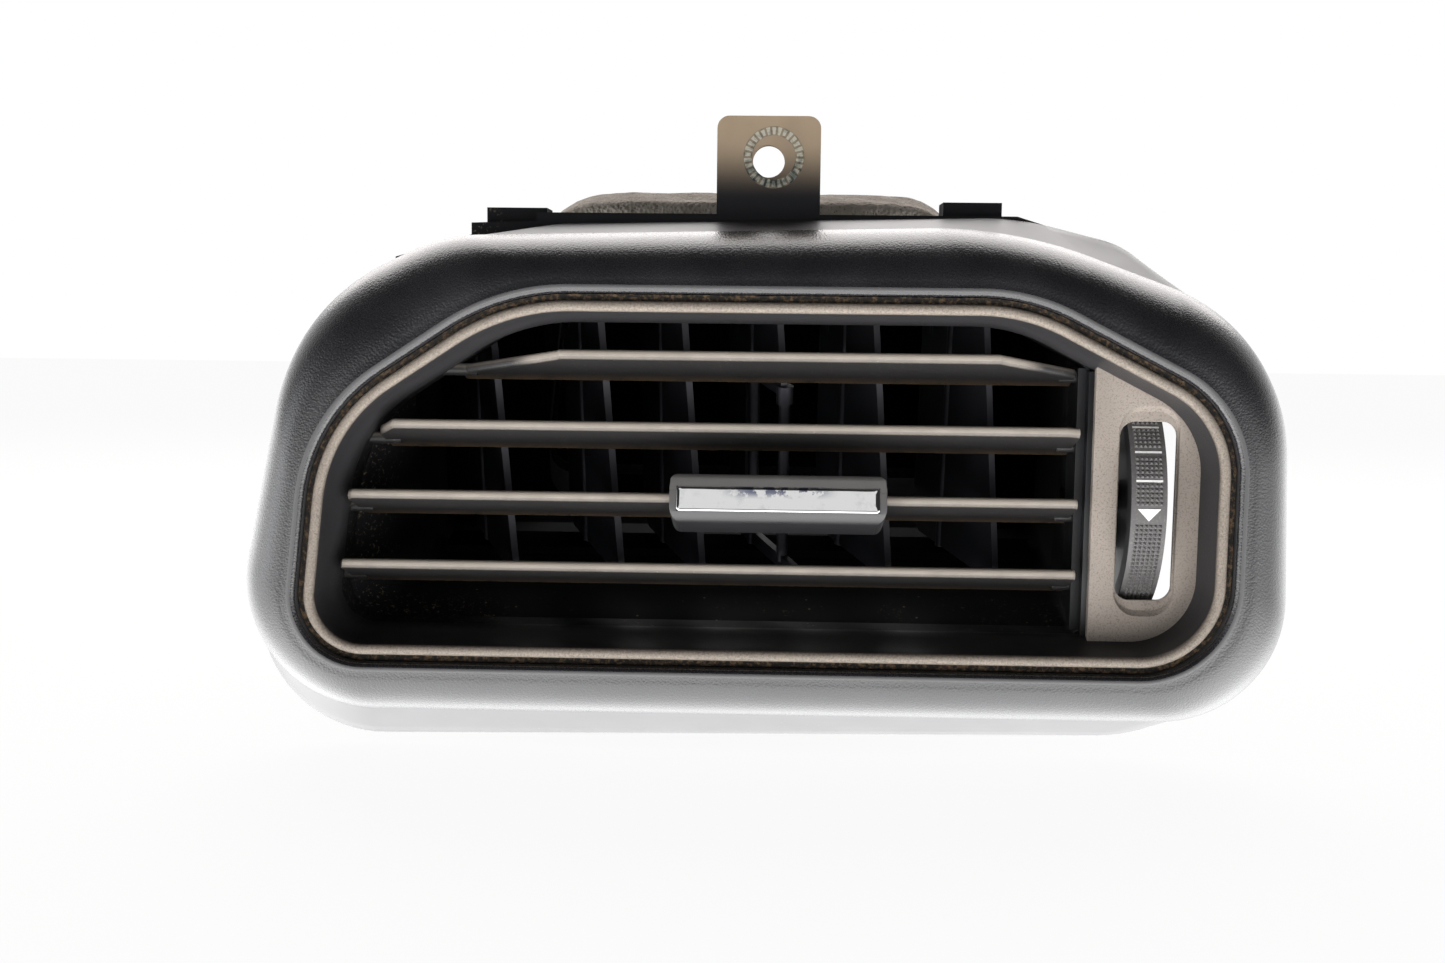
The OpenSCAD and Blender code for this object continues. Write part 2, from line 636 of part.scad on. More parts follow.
module upright_shape(corner_cut) {
    polygon([[front_at(rear_low), rear_low], [rear_back - 3, rear_low], [rear_back, rear_low + 3],
             [rear_back, notch_floor], [4.6, notch_floor], [4.6, rear_high],
             [front_at(rear_high) + corner_cut, rear_high],
             [front_at(rear_high - 4 * corner_cut), rear_high - 4 * corner_cut]]);
}
module upright_vane(i) {
    color(black) in_duct_frame() translate([rear_x[i], rear_axis, 0]) rotate([0, 0, rear_yaw]) difference() {
        union() {
            across(-rear_wall / 2, rear_wall / 2) difference() {
                upright_shape(i == 0 ? 2.2 : 0.5);
                if (i == driven) translate([front_at(0) - 10, 0])
                    polygon(outline([[-front_at(0) + 13, cut_low, 4], [-front_at(0) + 13, cut_high, 4],
                                     [0, cut_high, 1], [0, cut_low, 1]]));
            }
            translate([0, 0, rear_low - rail_wall + 0.1]) cylinder(h = rear_high - rear_low + 2 * rail_wall - 0.2, r = pivot_r);
            translate([0, link_reach, notch_floor - 4]) cylinder(h = rear_high - notch_floor + 3.6, r = link_pin_r);
            if (i == driven) {
                translate([0, -rod_reach, cut_low - 1.5]) cylinder(h = cut_high - cut_low + 3, r = rod_r);
                translate([0, -rod_reach, cut_high - 1.5]) cylinder(h = 4, r = rod_r + 0.6);
            }
        }
    }
}
module rear_vane_1() {
    upright_vane(0);
}
module rear_vane_2() {
    upright_vane(1);
}
module rear_vane_3() {
    upright_vane(2);
}
module rear_vane_4() {
    upright_vane(3);
}
module rear_vane_5() {
    upright_vane(4);
}
module rear_vane_6() {
    upright_vane(5);
}

// Link bar of the upright vanes, in the notch at their top back corner
module rear_vane_link() {
    shift = [-link_reach * sin(rear_yaw), link_reach * cos(rear_yaw)];
    color(black) in_duct_frame() translate([shift[0], rear_axis + shift[1], notch_floor + 0.8]) difference() {
        translate([rear_x[0], 0, 0]) linear_extrude(link_bar) bar_shape(rear_x[5] - rear_x[0], 1.9);
        for (x = rear_x) translate([x, 0, -1]) cylinder(h = link_bar + 2, r = link_pin_r + pin_gap);
    }
}

// Everything on the knob is drawn in the frame of its vane
module on_knob_vane() {
    translate([0, vane_y, vane_z(knob_vane)]) rotate([-vane_tilt, 0, 0]) children();
}
module knob_body() {
    intersection() {
        across(knob_x - knob_w / 2, knob_x + knob_w / 2)
            polygon(outline([[knob_back, -knob_down, 1.2], [knob_back, knob_up, 1.2],
                             [knob_front, knob_up, 1.6], [knob_front, -knob_down, 3]]));
        slab(knob_front - 1, knob_back + 1) translate([knob_x, (knob_up - knob_down) / 2])
            rounded(knob_w, knob_up + knob_down, 2.2);
    }
}
module knob_channel() {
    a = vane_nose / 2;
    g = slide_gap;
    across(knob_x - knob_w / 2 - 1, knob_x + knob_w / 2 + 1)
        polygon([[-vane_front - g, -a * 0.6], [-vane_front + 0.5, -a - g], [vane_back, -a - g],
                 [vane_back, a + g], [-vane_front + 0.5, a + g], [-vane_front - g, a * 0.6]]);
}
module chrome_pocket(grow) {
    across(knob_x - chrome_w / 2 - grow, knob_x + chrome_w / 2 + grow)
        polygon([[knob_front + chrome_sink, chrome_low - grow], [knob_front + chrome_sink, chrome_high + grow],
                 [knob_front - 0.1, chrome_high + grow], [knob_front - 0.45 - grow, chrome_high * 0.3],
                 [knob_front - 0.45 - grow, chrome_low * 0.4], [knob_front - 0.1, chrome_low - grow]]);
}
module knob_upper() {
    color(black) on_knob_vane() difference() {
        intersection() {
            knob_body();
            block([-99, -99, 0], [99, 99, 99]);
        }
        knob_channel();
        chrome_pocket(0);
    }
}
module knob_lower() {
    color(black) on_knob_vane() difference() {
        intersection() {
            knob_body();
            block([-99, -99, -99], [99, 99, 0]);
        }
        knob_channel();
        chrome_pocket(0);
    }
}
module knob_chrome() {
    color(chrome) on_knob_vane() chrome_pocket(0);
}
fork_gap = 0.4;
prong = 1.6;
fork_start = 11;
fork_end = 23.7;
module knob_fork() {
    low = vane_nose / 2 + 0.2;
    high = low + 2.5;
    half = rod_r + fork_gap;
    color(black) on_knob_vane() translate([rod_x, 0, low]) linear_extrude(high - low)
        polygon([[-half - prong - 2, knob_back], [half + prong + 2, knob_back], [half + prong, knob_back + 4],
                 [half + prong, fork_end], [half, fork_end], [half, fork_start], [-half, fork_start],
                 [-half, fork_end], [-half - prong, fork_end], [-half - prong, knob_back + 4]]);
}

// Points of a sector from the wheel's front, in the wheel's own turning plane
function sector(r, half, n) = [for (k = [0:n]) let (a = 270 - half + 2 * half * k / n) [r * cos(a), r * sin(a)]];
module thumbwheel() {
    grooves = 30;
    groove_step = 3;
    color(black) translate([0, wheel_y, wheel_z]) difference() {
        union() {
            translate([wheel_x - wheel_w / 2, 0, 0]) rotate([0, 90, 0]) rotate([0, 0, 270 - rim_half])
                rotate_extrude(angle = 2 * rim_half) polygon([[wheel_r - rim_wall, 0], [wheel_r - 0.4, 0], [wheel_r, 0.4],
                    [wheel_r, wheel_w - 0.4], [wheel_r - 0.4, wheel_w], [wheel_r - rim_wall, wheel_w]]);
            translate([web_x, 0, 0]) rotate([0, 90, 0]) linear_extrude(web_wall)
                polygon(concat([[0, 6], [0, 0]], sector(wheel_r - rim_wall + 0.6, rim_half - 1, 24)));
            rod_x_way(hub_start, hub_end, hub_r);
            translate([0, door_crank * sin(duct_rise), -door_crank * cos(duct_rise)])
                rod_x_way(web_x - rod_wall - 1, web_x + web_wall, crank_pin_r);
            translate([0, door_crank * sin(duct_rise), -door_crank * cos(duct_rise)])
                rod_x_way(web_x, web_x + web_wall, crank_pin_r + 2);
        }
        rod_x_way(hub_start - 1, hub_end + 1, axle_r + pin_gap);
        for (k = [-grooves / 2:grooves / 2]) rotate([k * groove_step, 0, 0])
            translate([wheel_x - wheel_w / 2 + 0.9, -wheel_r, 0])
                across(0, wheel_w - 1.8) polygon([[-0.1, -0.35], [0.5, 0], [-0.1, 0.35]]);
    }
}

module wheel_axle() {
    color(black) translate([0, wheel_y, wheel_z]) union() {
        rod_x_way(duct_right + wall + 0.2, hub_end + free_gap + 0.2, axle_r);
        rod_x_way(hub_end + free_gap, hub_end + free_gap + 1.4, axle_r + 1.2);
    }
}

door_edge = 2.2;
door_shape = [[inlet_right - door_edge, -door_half, 6], [inlet_right - door_edge, door_half - 11, 4],
              [inlet_right - 11, door_half, 4], [inlet_left + 11, door_half, 4],
              [inlet_left + door_edge, door_half - 11, 4], [inlet_left + door_edge, -door_half, 6]];
module damper_door() {
    color(black) on_door_axis() union() {
        rotate([door_angle, 0, 0]) translate([0, 0, -1]) linear_extrude(2) polygon(outline(door_shape));
        rod_x_way(inlet_left - wall - 1.6, door_crank_x + 1, shaft_r);
        rotate([-90, 0, 0]) across(door_crank_x, door_crank_x + rod_wall) bar_shape(door_crank, 3);
        translate([0, 0, -door_crank]) rod_x_way(door_crank_x + 0.5, door_crank_x + 2 * rod_wall + 1.2, crank_pin_r);
    }
}
module damper_seal() {
    color(foam) on_door_axis() difference() {
        rotate([door_angle, 0, 0]) translate([0, 0, -seal_half]) linear_extrude(2 * seal_half) difference() {
            polygon(outline(inset(door_shape, -seal_lip)));
            polygon(outline(door_shape));
        }
        rod_x_way(inlet_left, inlet_right, shaft_r + 0.1);
    }
}

// Link from the thumbwheel to the damper, bent sideways to pass the barrel
function to_duct(y, z) = [y * cos(duct_rise) + z * sin(duct_rise), -y * sin(duct_rise) + z * cos(duct_rise)];
module damper_link() {
    from = to_duct(wheel_y, wheel_z) - [0, door_crank];
    to = [door_axis, door_z - door_crank];
    length = norm(to - from);
    slope = atan2(to[1] - from[1], to[0] - from[0]);
    x0 = web_x - free_gap - rod_wall;
    x1 = door_crank_x + rod_wall + free_gap;
    color(black) in_duct_frame() translate([0, from[0], from[1]]) rotate([slope, 0, 0]) difference() {
        union() {
            translate([0, 0, -1.7]) linear_extrude(3.4)
                polygon([[x0, 0], [x0 + rod_wall, 0], [x0 + rod_wall, length * 0.66], [x1 + rod_wall, length * 0.9],
                         [x1 + rod_wall, length], [x1, length], [x1, length * 0.9 - 1], [x0, length * 0.66 - 1]]);
            rod_x_way(x0, x0 + rod_wall, 3.2);
            translate([0, length, 0]) rod_x_way(x1, x1 + rod_wall, 3.2);
        }
        rod_x_way(x0 - 1, x0 + rod_wall + 1, crank_pin_r + pin_gap);
        translate([0, length, 0]) rod_x_way(x1 - 1, x1 + rod_wall + 1, crank_pin_r + pin_gap);
    }
}

bezel();
face_frame();
vane_housing();
rear_duct();
foam_seal();
pivot_strip();
rear_rail_top();
rear_rail_bottom();
vane_top();
vane_upper();
vane_knob();
vane_bottom();
vane_link();
rear_vane_1();
rear_vane_2();
rear_vane_3();
rear_vane_4();
rear_vane_5();
rear_vane_6();
rear_vane_link();
knob_upper();
knob_lower();
knob_chrome();
knob_fork();
thumbwheel();
wheel_axle();
damper_door();
damper_seal();
damper_link();
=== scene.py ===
# %% [markdown]
# A dashboard air vent. The moving core comes from the imported CAD model, and this lesson adds the smooth outer
# mouldings, the finishes, the light and the camera. Blender works in metres, so one millimetre gets a name.

# %% Load the frame
import math
import bmesh
import bpy
from mathutils import Matrix, Vector


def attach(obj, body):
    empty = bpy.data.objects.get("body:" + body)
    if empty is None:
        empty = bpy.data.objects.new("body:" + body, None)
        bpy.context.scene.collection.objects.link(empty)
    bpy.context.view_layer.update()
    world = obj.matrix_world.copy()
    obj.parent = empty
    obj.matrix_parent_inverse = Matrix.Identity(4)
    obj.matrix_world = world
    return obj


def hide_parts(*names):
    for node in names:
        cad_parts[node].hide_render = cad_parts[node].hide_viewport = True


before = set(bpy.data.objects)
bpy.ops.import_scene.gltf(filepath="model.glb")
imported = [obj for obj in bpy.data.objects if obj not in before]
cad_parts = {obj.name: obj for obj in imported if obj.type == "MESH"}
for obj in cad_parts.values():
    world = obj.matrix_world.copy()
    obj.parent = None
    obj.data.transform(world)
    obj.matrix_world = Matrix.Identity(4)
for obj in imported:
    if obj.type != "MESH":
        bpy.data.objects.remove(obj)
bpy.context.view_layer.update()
MM = 0.001

# %% [markdown]
# The camera stands 300 mm in front of the bezel's roll edge, a little to the right and above, as in the
# photograph. Its rotation is built from three directions: right, up and backwards, which make a matrix's
# columns. A small roll tilts the whole picture, so level edges fall slightly to the right.

# %% Camera
IMAGE_WIDTH = 1445
FOCAL_PIXELS = 1500
SENSOR = 36
AZIMUTH = math.radians(1.7)
ELEVATION = math.radians(6.0)
ROLL = math.radians(-0.65)
AIM = Vector((-9.2, -26.0, 0.3)) * MM
DISTANCE = 300 * MM

toward = Vector((math.sin(AZIMUTH) * math.cos(ELEVATION), -math.cos(AZIMUTH) * math.cos(ELEVATION),
                 math.sin(ELEVATION)))
level_right = (-toward).cross(Vector((0, 0, 1))).normalized()
level_up = level_right.cross(-toward)
picture_right = level_right * math.cos(ROLL) - level_up * math.sin(ROLL)
picture_up = level_right * math.sin(ROLL) + level_up * math.cos(ROLL)

bpy.ops.object.select_all(action="DESELECT")
bpy.ops.object.camera_add(location=AIM + toward * DISTANCE)
camera = bpy.context.object
camera.name = "photo_camera"
camera.rotation_euler = Matrix((picture_right, picture_up, toward)).transposed().to_euler()
camera.data.sensor_width = SENSOR
camera.data.lens = SENSOR * FOCAL_PIXELS / IMAGE_WIDTH
camera.data.clip_start = 0.01
bpy.context.scene.camera = camera
print("camera at", [round(v, 4) for v in camera.location], "lens", round(camera.data.lens, 2))

# %% [markdown]
# Node trees are long to write by hand, so two small helpers do the work. A Link wraps a socket and turns
# Python's + - * / into Math nodes. A Finish starts a material and adds any other node from its type, its
# settings and its inputs.

# %% Helpers for materials
class Link:
    def __init__(self, tree, socket):
        self.tree = tree
        self.socket = socket

    def math(self, operation, first, second=0.0):
        node = self.tree.nodes.new("ShaderNodeMath")
        node.operation = operation
        for slot, value in zip(node.inputs, (first, second)):
            if isinstance(value, Link):
                self.tree.links.new(value.socket, slot)
            else:
                slot.default_value = value
        return Link(self.tree, node.outputs[0])

    def __add__(self, other):
        return self.math("ADD", self, other)

    def __radd__(self, other):
        return self.math("ADD", other, self)

    def __sub__(self, other):
        return self.math("SUBTRACT", self, other)

    def __rsub__(self, other):
        return self.math("SUBTRACT", other, self)

    def __neg__(self):
        return 0.0 - self

    def __mul__(self, other):
        return self.math("MULTIPLY", self, other)

    def __rmul__(self, other):
        return self.math("MULTIPLY", other, self)

    def above(self, level):
        return self.math("GREATER_THAN", self, level)

    def least(self, other):
        return self.math("MINIMUM", self, other)

    def most(self, other):
        return self.math("MAXIMUM", self, other)

    def absolute(self):
        return self.math("ABSOLUTE", self)

    def fade(self, low, high):
        """0 below low, 1 above high, a smooth step between."""
        node = self.tree.nodes.new("ShaderNodeMapRange")
        node.interpolation_type = "SMOOTHSTEP"
        node.inputs["From Min"].default_value = low
        node.inputs["From Max"].default_value = high
        self.tree.links.new(self.socket, node.inputs["Value"])
        return Link(self.tree, node.outputs["Result"])


class Finish:
    def __init__(self, name, **constants):
        self.material = bpy.data.materials.new(name)
        self.material.use_nodes = True
        self.tree = self.material.node_tree
        self.shader = self.tree.nodes["Principled BSDF"]
        for key, value in constants.items():
            self.put(key.replace("_", " "), value)

    def node(self, kind, settings=None, output=0, **inputs):
        """Any other node. An input is called by its name, or by i and its number where names repeat."""
        node = self.tree.nodes.new(kind)
        for key, value in (settings or {}).items():
            setattr(node, key, value)
        for key, value in inputs.items():
            socket = node.inputs[int(key[1:])] if key[0] == "i" and key[1:].isdigit() else node.inputs[key]
            if isinstance(value, Link):
                self.tree.links.new(value.socket, socket)
            else:
                socket.default_value = value
        return Link(self.tree, node.outputs[output])

    def put(self, socket, value):
        if isinstance(value, Link):
            self.tree.links.new(value.socket, self.shader.inputs[socket])
        else:
            self.shader.inputs[socket].default_value = value

    def place(self):
        return self.node("ShaderNodeTexCoord", output="Object")

    def axis(self, which):
        """Where a point lies along X, Y or Z, in millimetres."""
        return self.node("ShaderNodeSeparateXYZ", output=which, Vector=self.place()) * 1000.0

    def facing(self, which):
        """How far a face looks along X, Y or Z, from -1 to 1."""
        normal = self.node("ShaderNodeNewGeometry", output="Normal")
        return self.node("ShaderNodeSeparateXYZ", output=which, Vector=normal)

    def noise(self, size_mm, detail=3.0, roughness=0.5):
        return self.node("ShaderNodeTexNoise", output="Fac", Vector=self.place(), Scale=1000 / size_mm,
                         Detail=detail, Roughness=roughness)

    def cells(self, size_mm, output="Distance"):
        """The distance from the middle of a random cell."""
        return self.node("ShaderNodeTexVoronoi", output=output, Vector=self.place(), Scale=1000 / size_mm)

    def lottery(self, size_mm):
        """One random number for each cell."""
        return self.node("ShaderNodeSeparateXYZ", output="X", Vector=self.cells(size_mm, "Color"))

    def mix(self, factor, a, b):
        """Colour a where the factor is 0, colour b where it is 1."""
        return self.node("ShaderNodeMix", {"data_type": "RGBA"}, output=2, i0=factor, i6=a, i7=b)

    def bump(self, height, depth_mm):
        return self.node("ShaderNodeBump", Height=height, Distance=depth_mm * MM)


def rgb(red, green, blue):
    """A colour picked as 0 to 255 on screen, as the linear colour that Blender's sockets hold."""
    def linear(value):
        value = value / 255
        return value / 12.92 if value <= 0.04045 else ((value + 0.055) / 1.055) ** 2.4
    return (linear(red), linear(green), linear(blue), 1.0)


DUST = rgb(150, 134, 112)
DUST_DARK = rgb(116, 96, 72)
print("dust:", [round(value, 3) for value in DUST[:3]])

# %% [markdown]
# The bezel is black polypropylene with a leather-like grain that was etched into its mould. Fine cells give the
# grain its pebbles, a finer noise breaks up their edges, and a broad noise changes tone and gloss a little, so
# that the face doesn't look printed. A bump is enough, because the real grain is only hundredths of a
# millimetre deep.

# %% Finish of the grained bezel
def grained_plastic():
    f = Finish("bezel_grain", Specular_IOR_Level=0.85)
    pebbles = f.cells(0.45)
    fine = f.noise(0.28, 2.0)
    broad = f.noise(14.0, 3.0)
    f.put("Base Color", f.mix(broad.fade(0.35, 0.75), rgb(27, 27, 30), rgb(35, 34, 37)))
    f.put("Roughness", 0.21 + 0.06 * broad + 0.06 * pebbles)
    f.put("Normal", f.bump(pebbles * 0.7 + fine * 0.5, 0.055))
    return f.material


GRAIN = grained_plastic()
print("finish:", GRAIN.name)

# %% [markdown]
# The skirt, the roll edge round the opening and the back of the bezel have no grain. They are smooth satin
# plastic, which mirrors the table and the window more clearly. A few cells of a coarse pattern are kept where a
# broad noise is high, and these become single specks of dust.

# %% Finish of the bezel's smooth skirt and roll edge
def satin_plastic():
    f = Finish("bezel_satin", Specular_IOR_Level=1.0)
    broad = f.noise(9.0, 4.0)
    dusty = (1.0 - f.cells(2.2)).fade(0.93, 0.97) * broad.fade(0.45, 0.6)
    clean = f.mix(broad, rgb(58, 58, 60), rgb(68, 67, 68))
    f.put("Base Color", f.mix(dusty * 0.5, clean, DUST))
    f.put("Roughness", 0.42 + 0.12 * broad)
    f.put("Normal", f.bump(f.noise(0.5, 2.0), 0.01))
    return f.material


SATIN = satin_plastic()
print("finish:", SATIN.name)

# %% [markdown]
# The face frame is brown grey and matte. Its rounded lip faces the passenger, and what looks forward carries a pale
# film that is dust and a painted highlight together, with fine pits; the wheel panel is paler and cleaner, and the
# deep band inside is painted nearly black as shade. One recipe with a tone and an amount of dust and painted light
# gives all three.

# %% Finishes of the face frame
def frame_plastic(name, tone, dust_and_light_amount):
    f = Finish(name, Specular_IOR_Level=0.45)
    broad = f.noise(6.0, 4.0)
    speck = f.noise(0.42, 3.0, 0.8)
    # Partly painted light: the pale film on faces that look forward is dust and a painted highlight together.
    front_dust_and_light = (-f.facing("Y")).fade(0.2, 0.95)
    film = front_dust_and_light * (0.45 + 0.55 * broad) * dust_and_light_amount
    spots = speck.fade(0.50, 0.66) * dust_and_light_amount * 0.5
    pits = speck.fade(0.50, 0.36) * 0.45
    dusted = f.mix((film + spots).least(1.0), tone, rgb(152, 141, 129))
    f.put("Base Color", f.mix(pits, dusted, rgb(58, 52, 46)))
    f.put("Roughness", 0.42 + 0.2 * front_dust_and_light + 0.1 * broad)
    f.put("Normal", f.bump(speck, 0.05))
    return f.material


LIP = frame_plastic("frame_lip", rgb(98, 90, 83), 0.75)
PANEL = frame_plastic("wheel_panel", rgb(155, 145, 137), 0.35)
# Painted shade: the band's near-black tone stands for the shade inside the opening.
SHADED_BAND = frame_plastic("frame_band_painted_shade", rgb(40, 40, 43), 0.12)
print("finishes:", LIP.name, PANEL.name, SHADED_BAND.name)

# %% [markdown]
# Everything inside is satin black plastic on which dust has settled: a film on what faces up, and single pale
# specks. A cell pattern places the specks, and each cell's own random colour decides whether it holds one. The
# bars deep inside have almost none, because little light and little dust get there.

# %% Finishes of the black inner plastic
def black_plastic(name, film_amount, specks_amount, gloss):
    f = Finish(name, Specular_IOR_Level=0.5)
    broad = f.noise(11.0, 4.0)
    film = f.facing("Z").fade(0.35, 1.0) * broad.fade(0.35, 0.8) * film_amount
    specks = (1.0 - f.cells(4.5)).fade(0.90, 0.93) * f.lottery(4.5).above(0.62) * specks_amount
    f.put("Base Color", f.mix((film + specks).least(1.0), rgb(22, 23, 26), DUST))
    f.put("Roughness", gloss + 0.22 * broad + 0.4 * film)
    f.put("Normal", f.bump(f.noise(0.45, 2.0), 0.008))
    return f.material


BLACK = black_plastic("black_plastic", 0.25, 0.8, 0.32)
DEEP = black_plastic("black_plastic_deep", 0.03, 0.1, 0.5)
print("finishes:", BLACK.name, DEEP.name)

# %% [markdown]
# The level vanes are the same black plastic, but their noses stand in the air stream and are taupe with dust.
# The dust goes by the direction a face looks in and by how far forward it lies. Besides the dust, the nose is paler
# on its upper half as a painted highlight from the back light, and darker on its lower half as painted shade. Brown
# fluff hangs on the rear edges.

# %% Finish of the level vanes
def vane_plastic():
    f = Finish("vane_plastic", Specular_IOR_Level=0.45)
    broad = f.noise(5.0, 4.0)
    fine = f.noise(0.5, 2.0, 0.8)
    front = (-f.facing("Y")).fade(0.38, 0.66)
    nose = (-f.axis("Y")).fade(14.0, 16.5)
    rear = f.axis("Y").fade(-9.0, -2.5)
    # Painted light: the nose is paler on its upper half, where the back light falls, and darker below.
    painted_top_light = 0.35 + 0.65 * f.facing("Z").fade(-0.55, 0.15)
    nose_dust_and_light = front * (0.5 + 0.5 * broad) * painted_top_light * nose
    top_dust = f.facing("Z").fade(0.0, 0.9) * 0.5
    specks = fine.fade(0.64, 0.70) * 0.225
    dusty = (nose_dust_and_light + top_dust + specks).least(1.0)
    fluff = rear * (fine + broad * 0.6).fade(0.62, 0.82)
    base = f.mix(dusty, rgb(38, 37, 37), rgb(180, 170, 158))
    f.put("Base Color", f.mix(fluff.least(1.0), base, DUST_DARK))
    f.put("Roughness", 0.45 + 0.3 * dusty)
    f.put("Normal", f.bump(fine + fluff * 1.5, 0.03))
    return f.material


VANE = vane_plastic()
print("finish:", VANE.name)

# %% [markdown]
# The upright vanes stand deeper, where the light is blue and weak, and their blades carry that blue shade painted
# into their colour. Their front edges have a painted highlight, so each reads as a thin line in front of a dark
# blade.

# %% Finish of the upright vanes
def upright_plastic():
    f = Finish("upright_vane_plastic", Specular_IOR_Level=0.5)
    broad = f.noise(8.0, 3.0)
    # Painted light: a blue shade on the blade and a paler highlight on the front edge.
    front = (-f.facing("Y")).fade(0.55, 0.95)
    blue_shaded_blade = f.mix(broad, rgb(34, 35, 42), rgb(46, 46, 52))
    f.put("Base Color", f.mix(front * 0.5, blue_shaded_blade, rgb(112, 112, 122)))
    f.put("Roughness", 0.36 + 0.2 * broad)
    f.put("Normal", f.bump(f.noise(0.5, 2.0), 0.01))
    return f.material


UPRIGHT = upright_plastic()
print("finish:", UPRIGHT.name)

# %% [markdown]
# Fingers keep the knob's shells clean and grey. The top side holds some dust, and the lower edge is darkened with
# painted shade, where the shell rounds away from the light. The knob is tilted on its vane, so its height is worked
# out along its own upright direction from Y and Z.

# %% Finish of the knob
KNOB_TILT = math.radians(-21)
KNOB_PIVOT = Vector((0, -8.7, -7.7))


def knob_plastic():
    f = Finish("knob_plastic", Specular_IOR_Level=0.5)
    broad = f.noise(6.0, 3.0)
    upward = f.facing("Z").fade(0.0, 0.7) * (0.3 + 0.2 * broad)
    forward_share = (f.axis("Y") - KNOB_PIVOT.y) * -math.sin(KNOB_TILT)
    height = forward_share + (f.axis("Z") - KNOB_PIVOT.z) * math.cos(KNOB_TILT)
    # Painted shade: the lower edge of the shell is darkened in its colour.
    painted_shade = (-height).fade(4.4, 6.2)
    tone = f.mix(painted_shade, f.mix(broad, rgb(66, 66, 67), rgb(76, 75, 75)), rgb(30, 30, 32))
    f.put("Base Color", f.mix(upward, tone, rgb(134, 130, 126)))
    f.put("Roughness", 0.34 + 0.16 * broad)
    f.put("Normal", f.bump(f.noise(0.4, 2.0), 0.01))
    return f.material


KNOB = knob_plastic()
print("finish:", KNOB.name)

# %% [markdown]
# The bar is chrome-plated plastic: fully metallic and almost smooth. Plating follows the slight waves of the
# moulding, which a broad bump gives. Along its top, around the middle, blue-grey blotches are a painted reflection
# of the dark room beside the card, and elsewhere finger smears dull it a little.

# %% Finish of the chrome bar
def chrome_plating():
    f = Finish("knob_chrome", Metallic=1.0)
    haze = f.noise(3.2, 3.0).fade(0.52, 0.72)
    near_top = f.axis("Z").fade(-3.4, -1.8)
    near_middle = 1.0 - (f.axis("X") - 2.0).absolute().fade(5.0, 13.0)
    # Painted reflection: blue-grey blotches stand for the dark room mirrored near the card's edge.
    painted_reflection_blotch = f.noise(2.6, 4.0, 0.6).fade(0.44, 0.52) * near_top * near_middle
    smeared = f.mix(haze * 0.4, rgb(232, 232, 232), rgb(196, 196, 198))
    f.put("Base Color", f.mix(painted_reflection_blotch * 0.85, smeared, rgb(70, 78, 112)))
    f.put("Roughness", 0.07 + 0.1 * haze)
    f.put("Normal", f.bump(f.noise(7.0, 1.0), 0.12))
    return f.material


CHROME = chrome_plating()
print("finish:", CHROME.name)

# %% [markdown]
# The wheel's rim is rubbed grey by thumbs, and its marks are white paint that has begun to wear off in small
# spots.

# %% Finishes of the thumbwheel and its marks
def wheel_plastic():
    f = Finish("wheel_plastic", Specular_IOR_Level=0.5)
    broad = f.noise(4.0, 3.0)
    fine = f.noise(0.5, 2.0)
    f.put("Base Color", f.mix(fine.fade(0.5, 0.75) * 0.35, rgb(90, 88, 88), rgb(134, 128, 122)))
    f.put("Roughness", 0.42 + 0.15 * broad)
    f.put("Normal", f.bump(fine, 0.02))
    return f.material


def mark_paint():
    f = Finish("wheel_mark_paint", Specular_IOR_Level=0.4)
    worn = f.noise(0.6, 3.0)
    f.put("Base Color", f.mix(worn.fade(0.55, 0.8) * 0.5, rgb(236, 236, 234), rgb(150, 146, 140)))
    f.put("Roughness", 0.5 + 0.2 * worn)
    return f.material


WHEEL = wheel_plastic()
PAINT = mark_paint()
print("finishes:", WHEEL.name, PAINT.name)

# %% [markdown]
# The collar is open foam, pale and mottled, with dark pores. The foam edge of the door sits in the duct and is
# painted black as the shade there. Foam has hardly any gloss, so its roughness is near one.

# %% Finishes of the foam
def seal_foam(name, dark, light):
    f = Finish(name, Specular_IOR_Level=0.2)
    pores = f.cells(0.9)
    base = f.mix(f.noise(5.0, 4.0).fade(0.3, 0.7), dark, light)
    f.put("Base Color", f.mix((1.0 - pores).fade(0.72, 0.9) * 0.6, base, rgb(60, 57, 52)))
    f.put("Roughness", 0.95)
    f.put("Normal", f.bump(pores, 0.35))
    return f.material


FOAM = seal_foam("seal_foam", rgb(136, 129, 120), rgb(158, 151, 142))
# Painted shade: the door's foam is darkened to stand for the shade in the duct.
DOOR_FOAM = seal_foam("door_foam", rgb(30, 29, 28), rgb(44, 42, 40))
print("finishes:", FOAM.name, DOOR_FOAM.name)

# %% [markdown]
# The housing is one black moulding with four different places on it, and its finish reads them from the place
# in millimetres: specks on the floor in front, fluff along the left wall, a brown haze that grows towards the
# top of the screw tab, and painted shade that turns it dull near-black deeper behind the vanes.

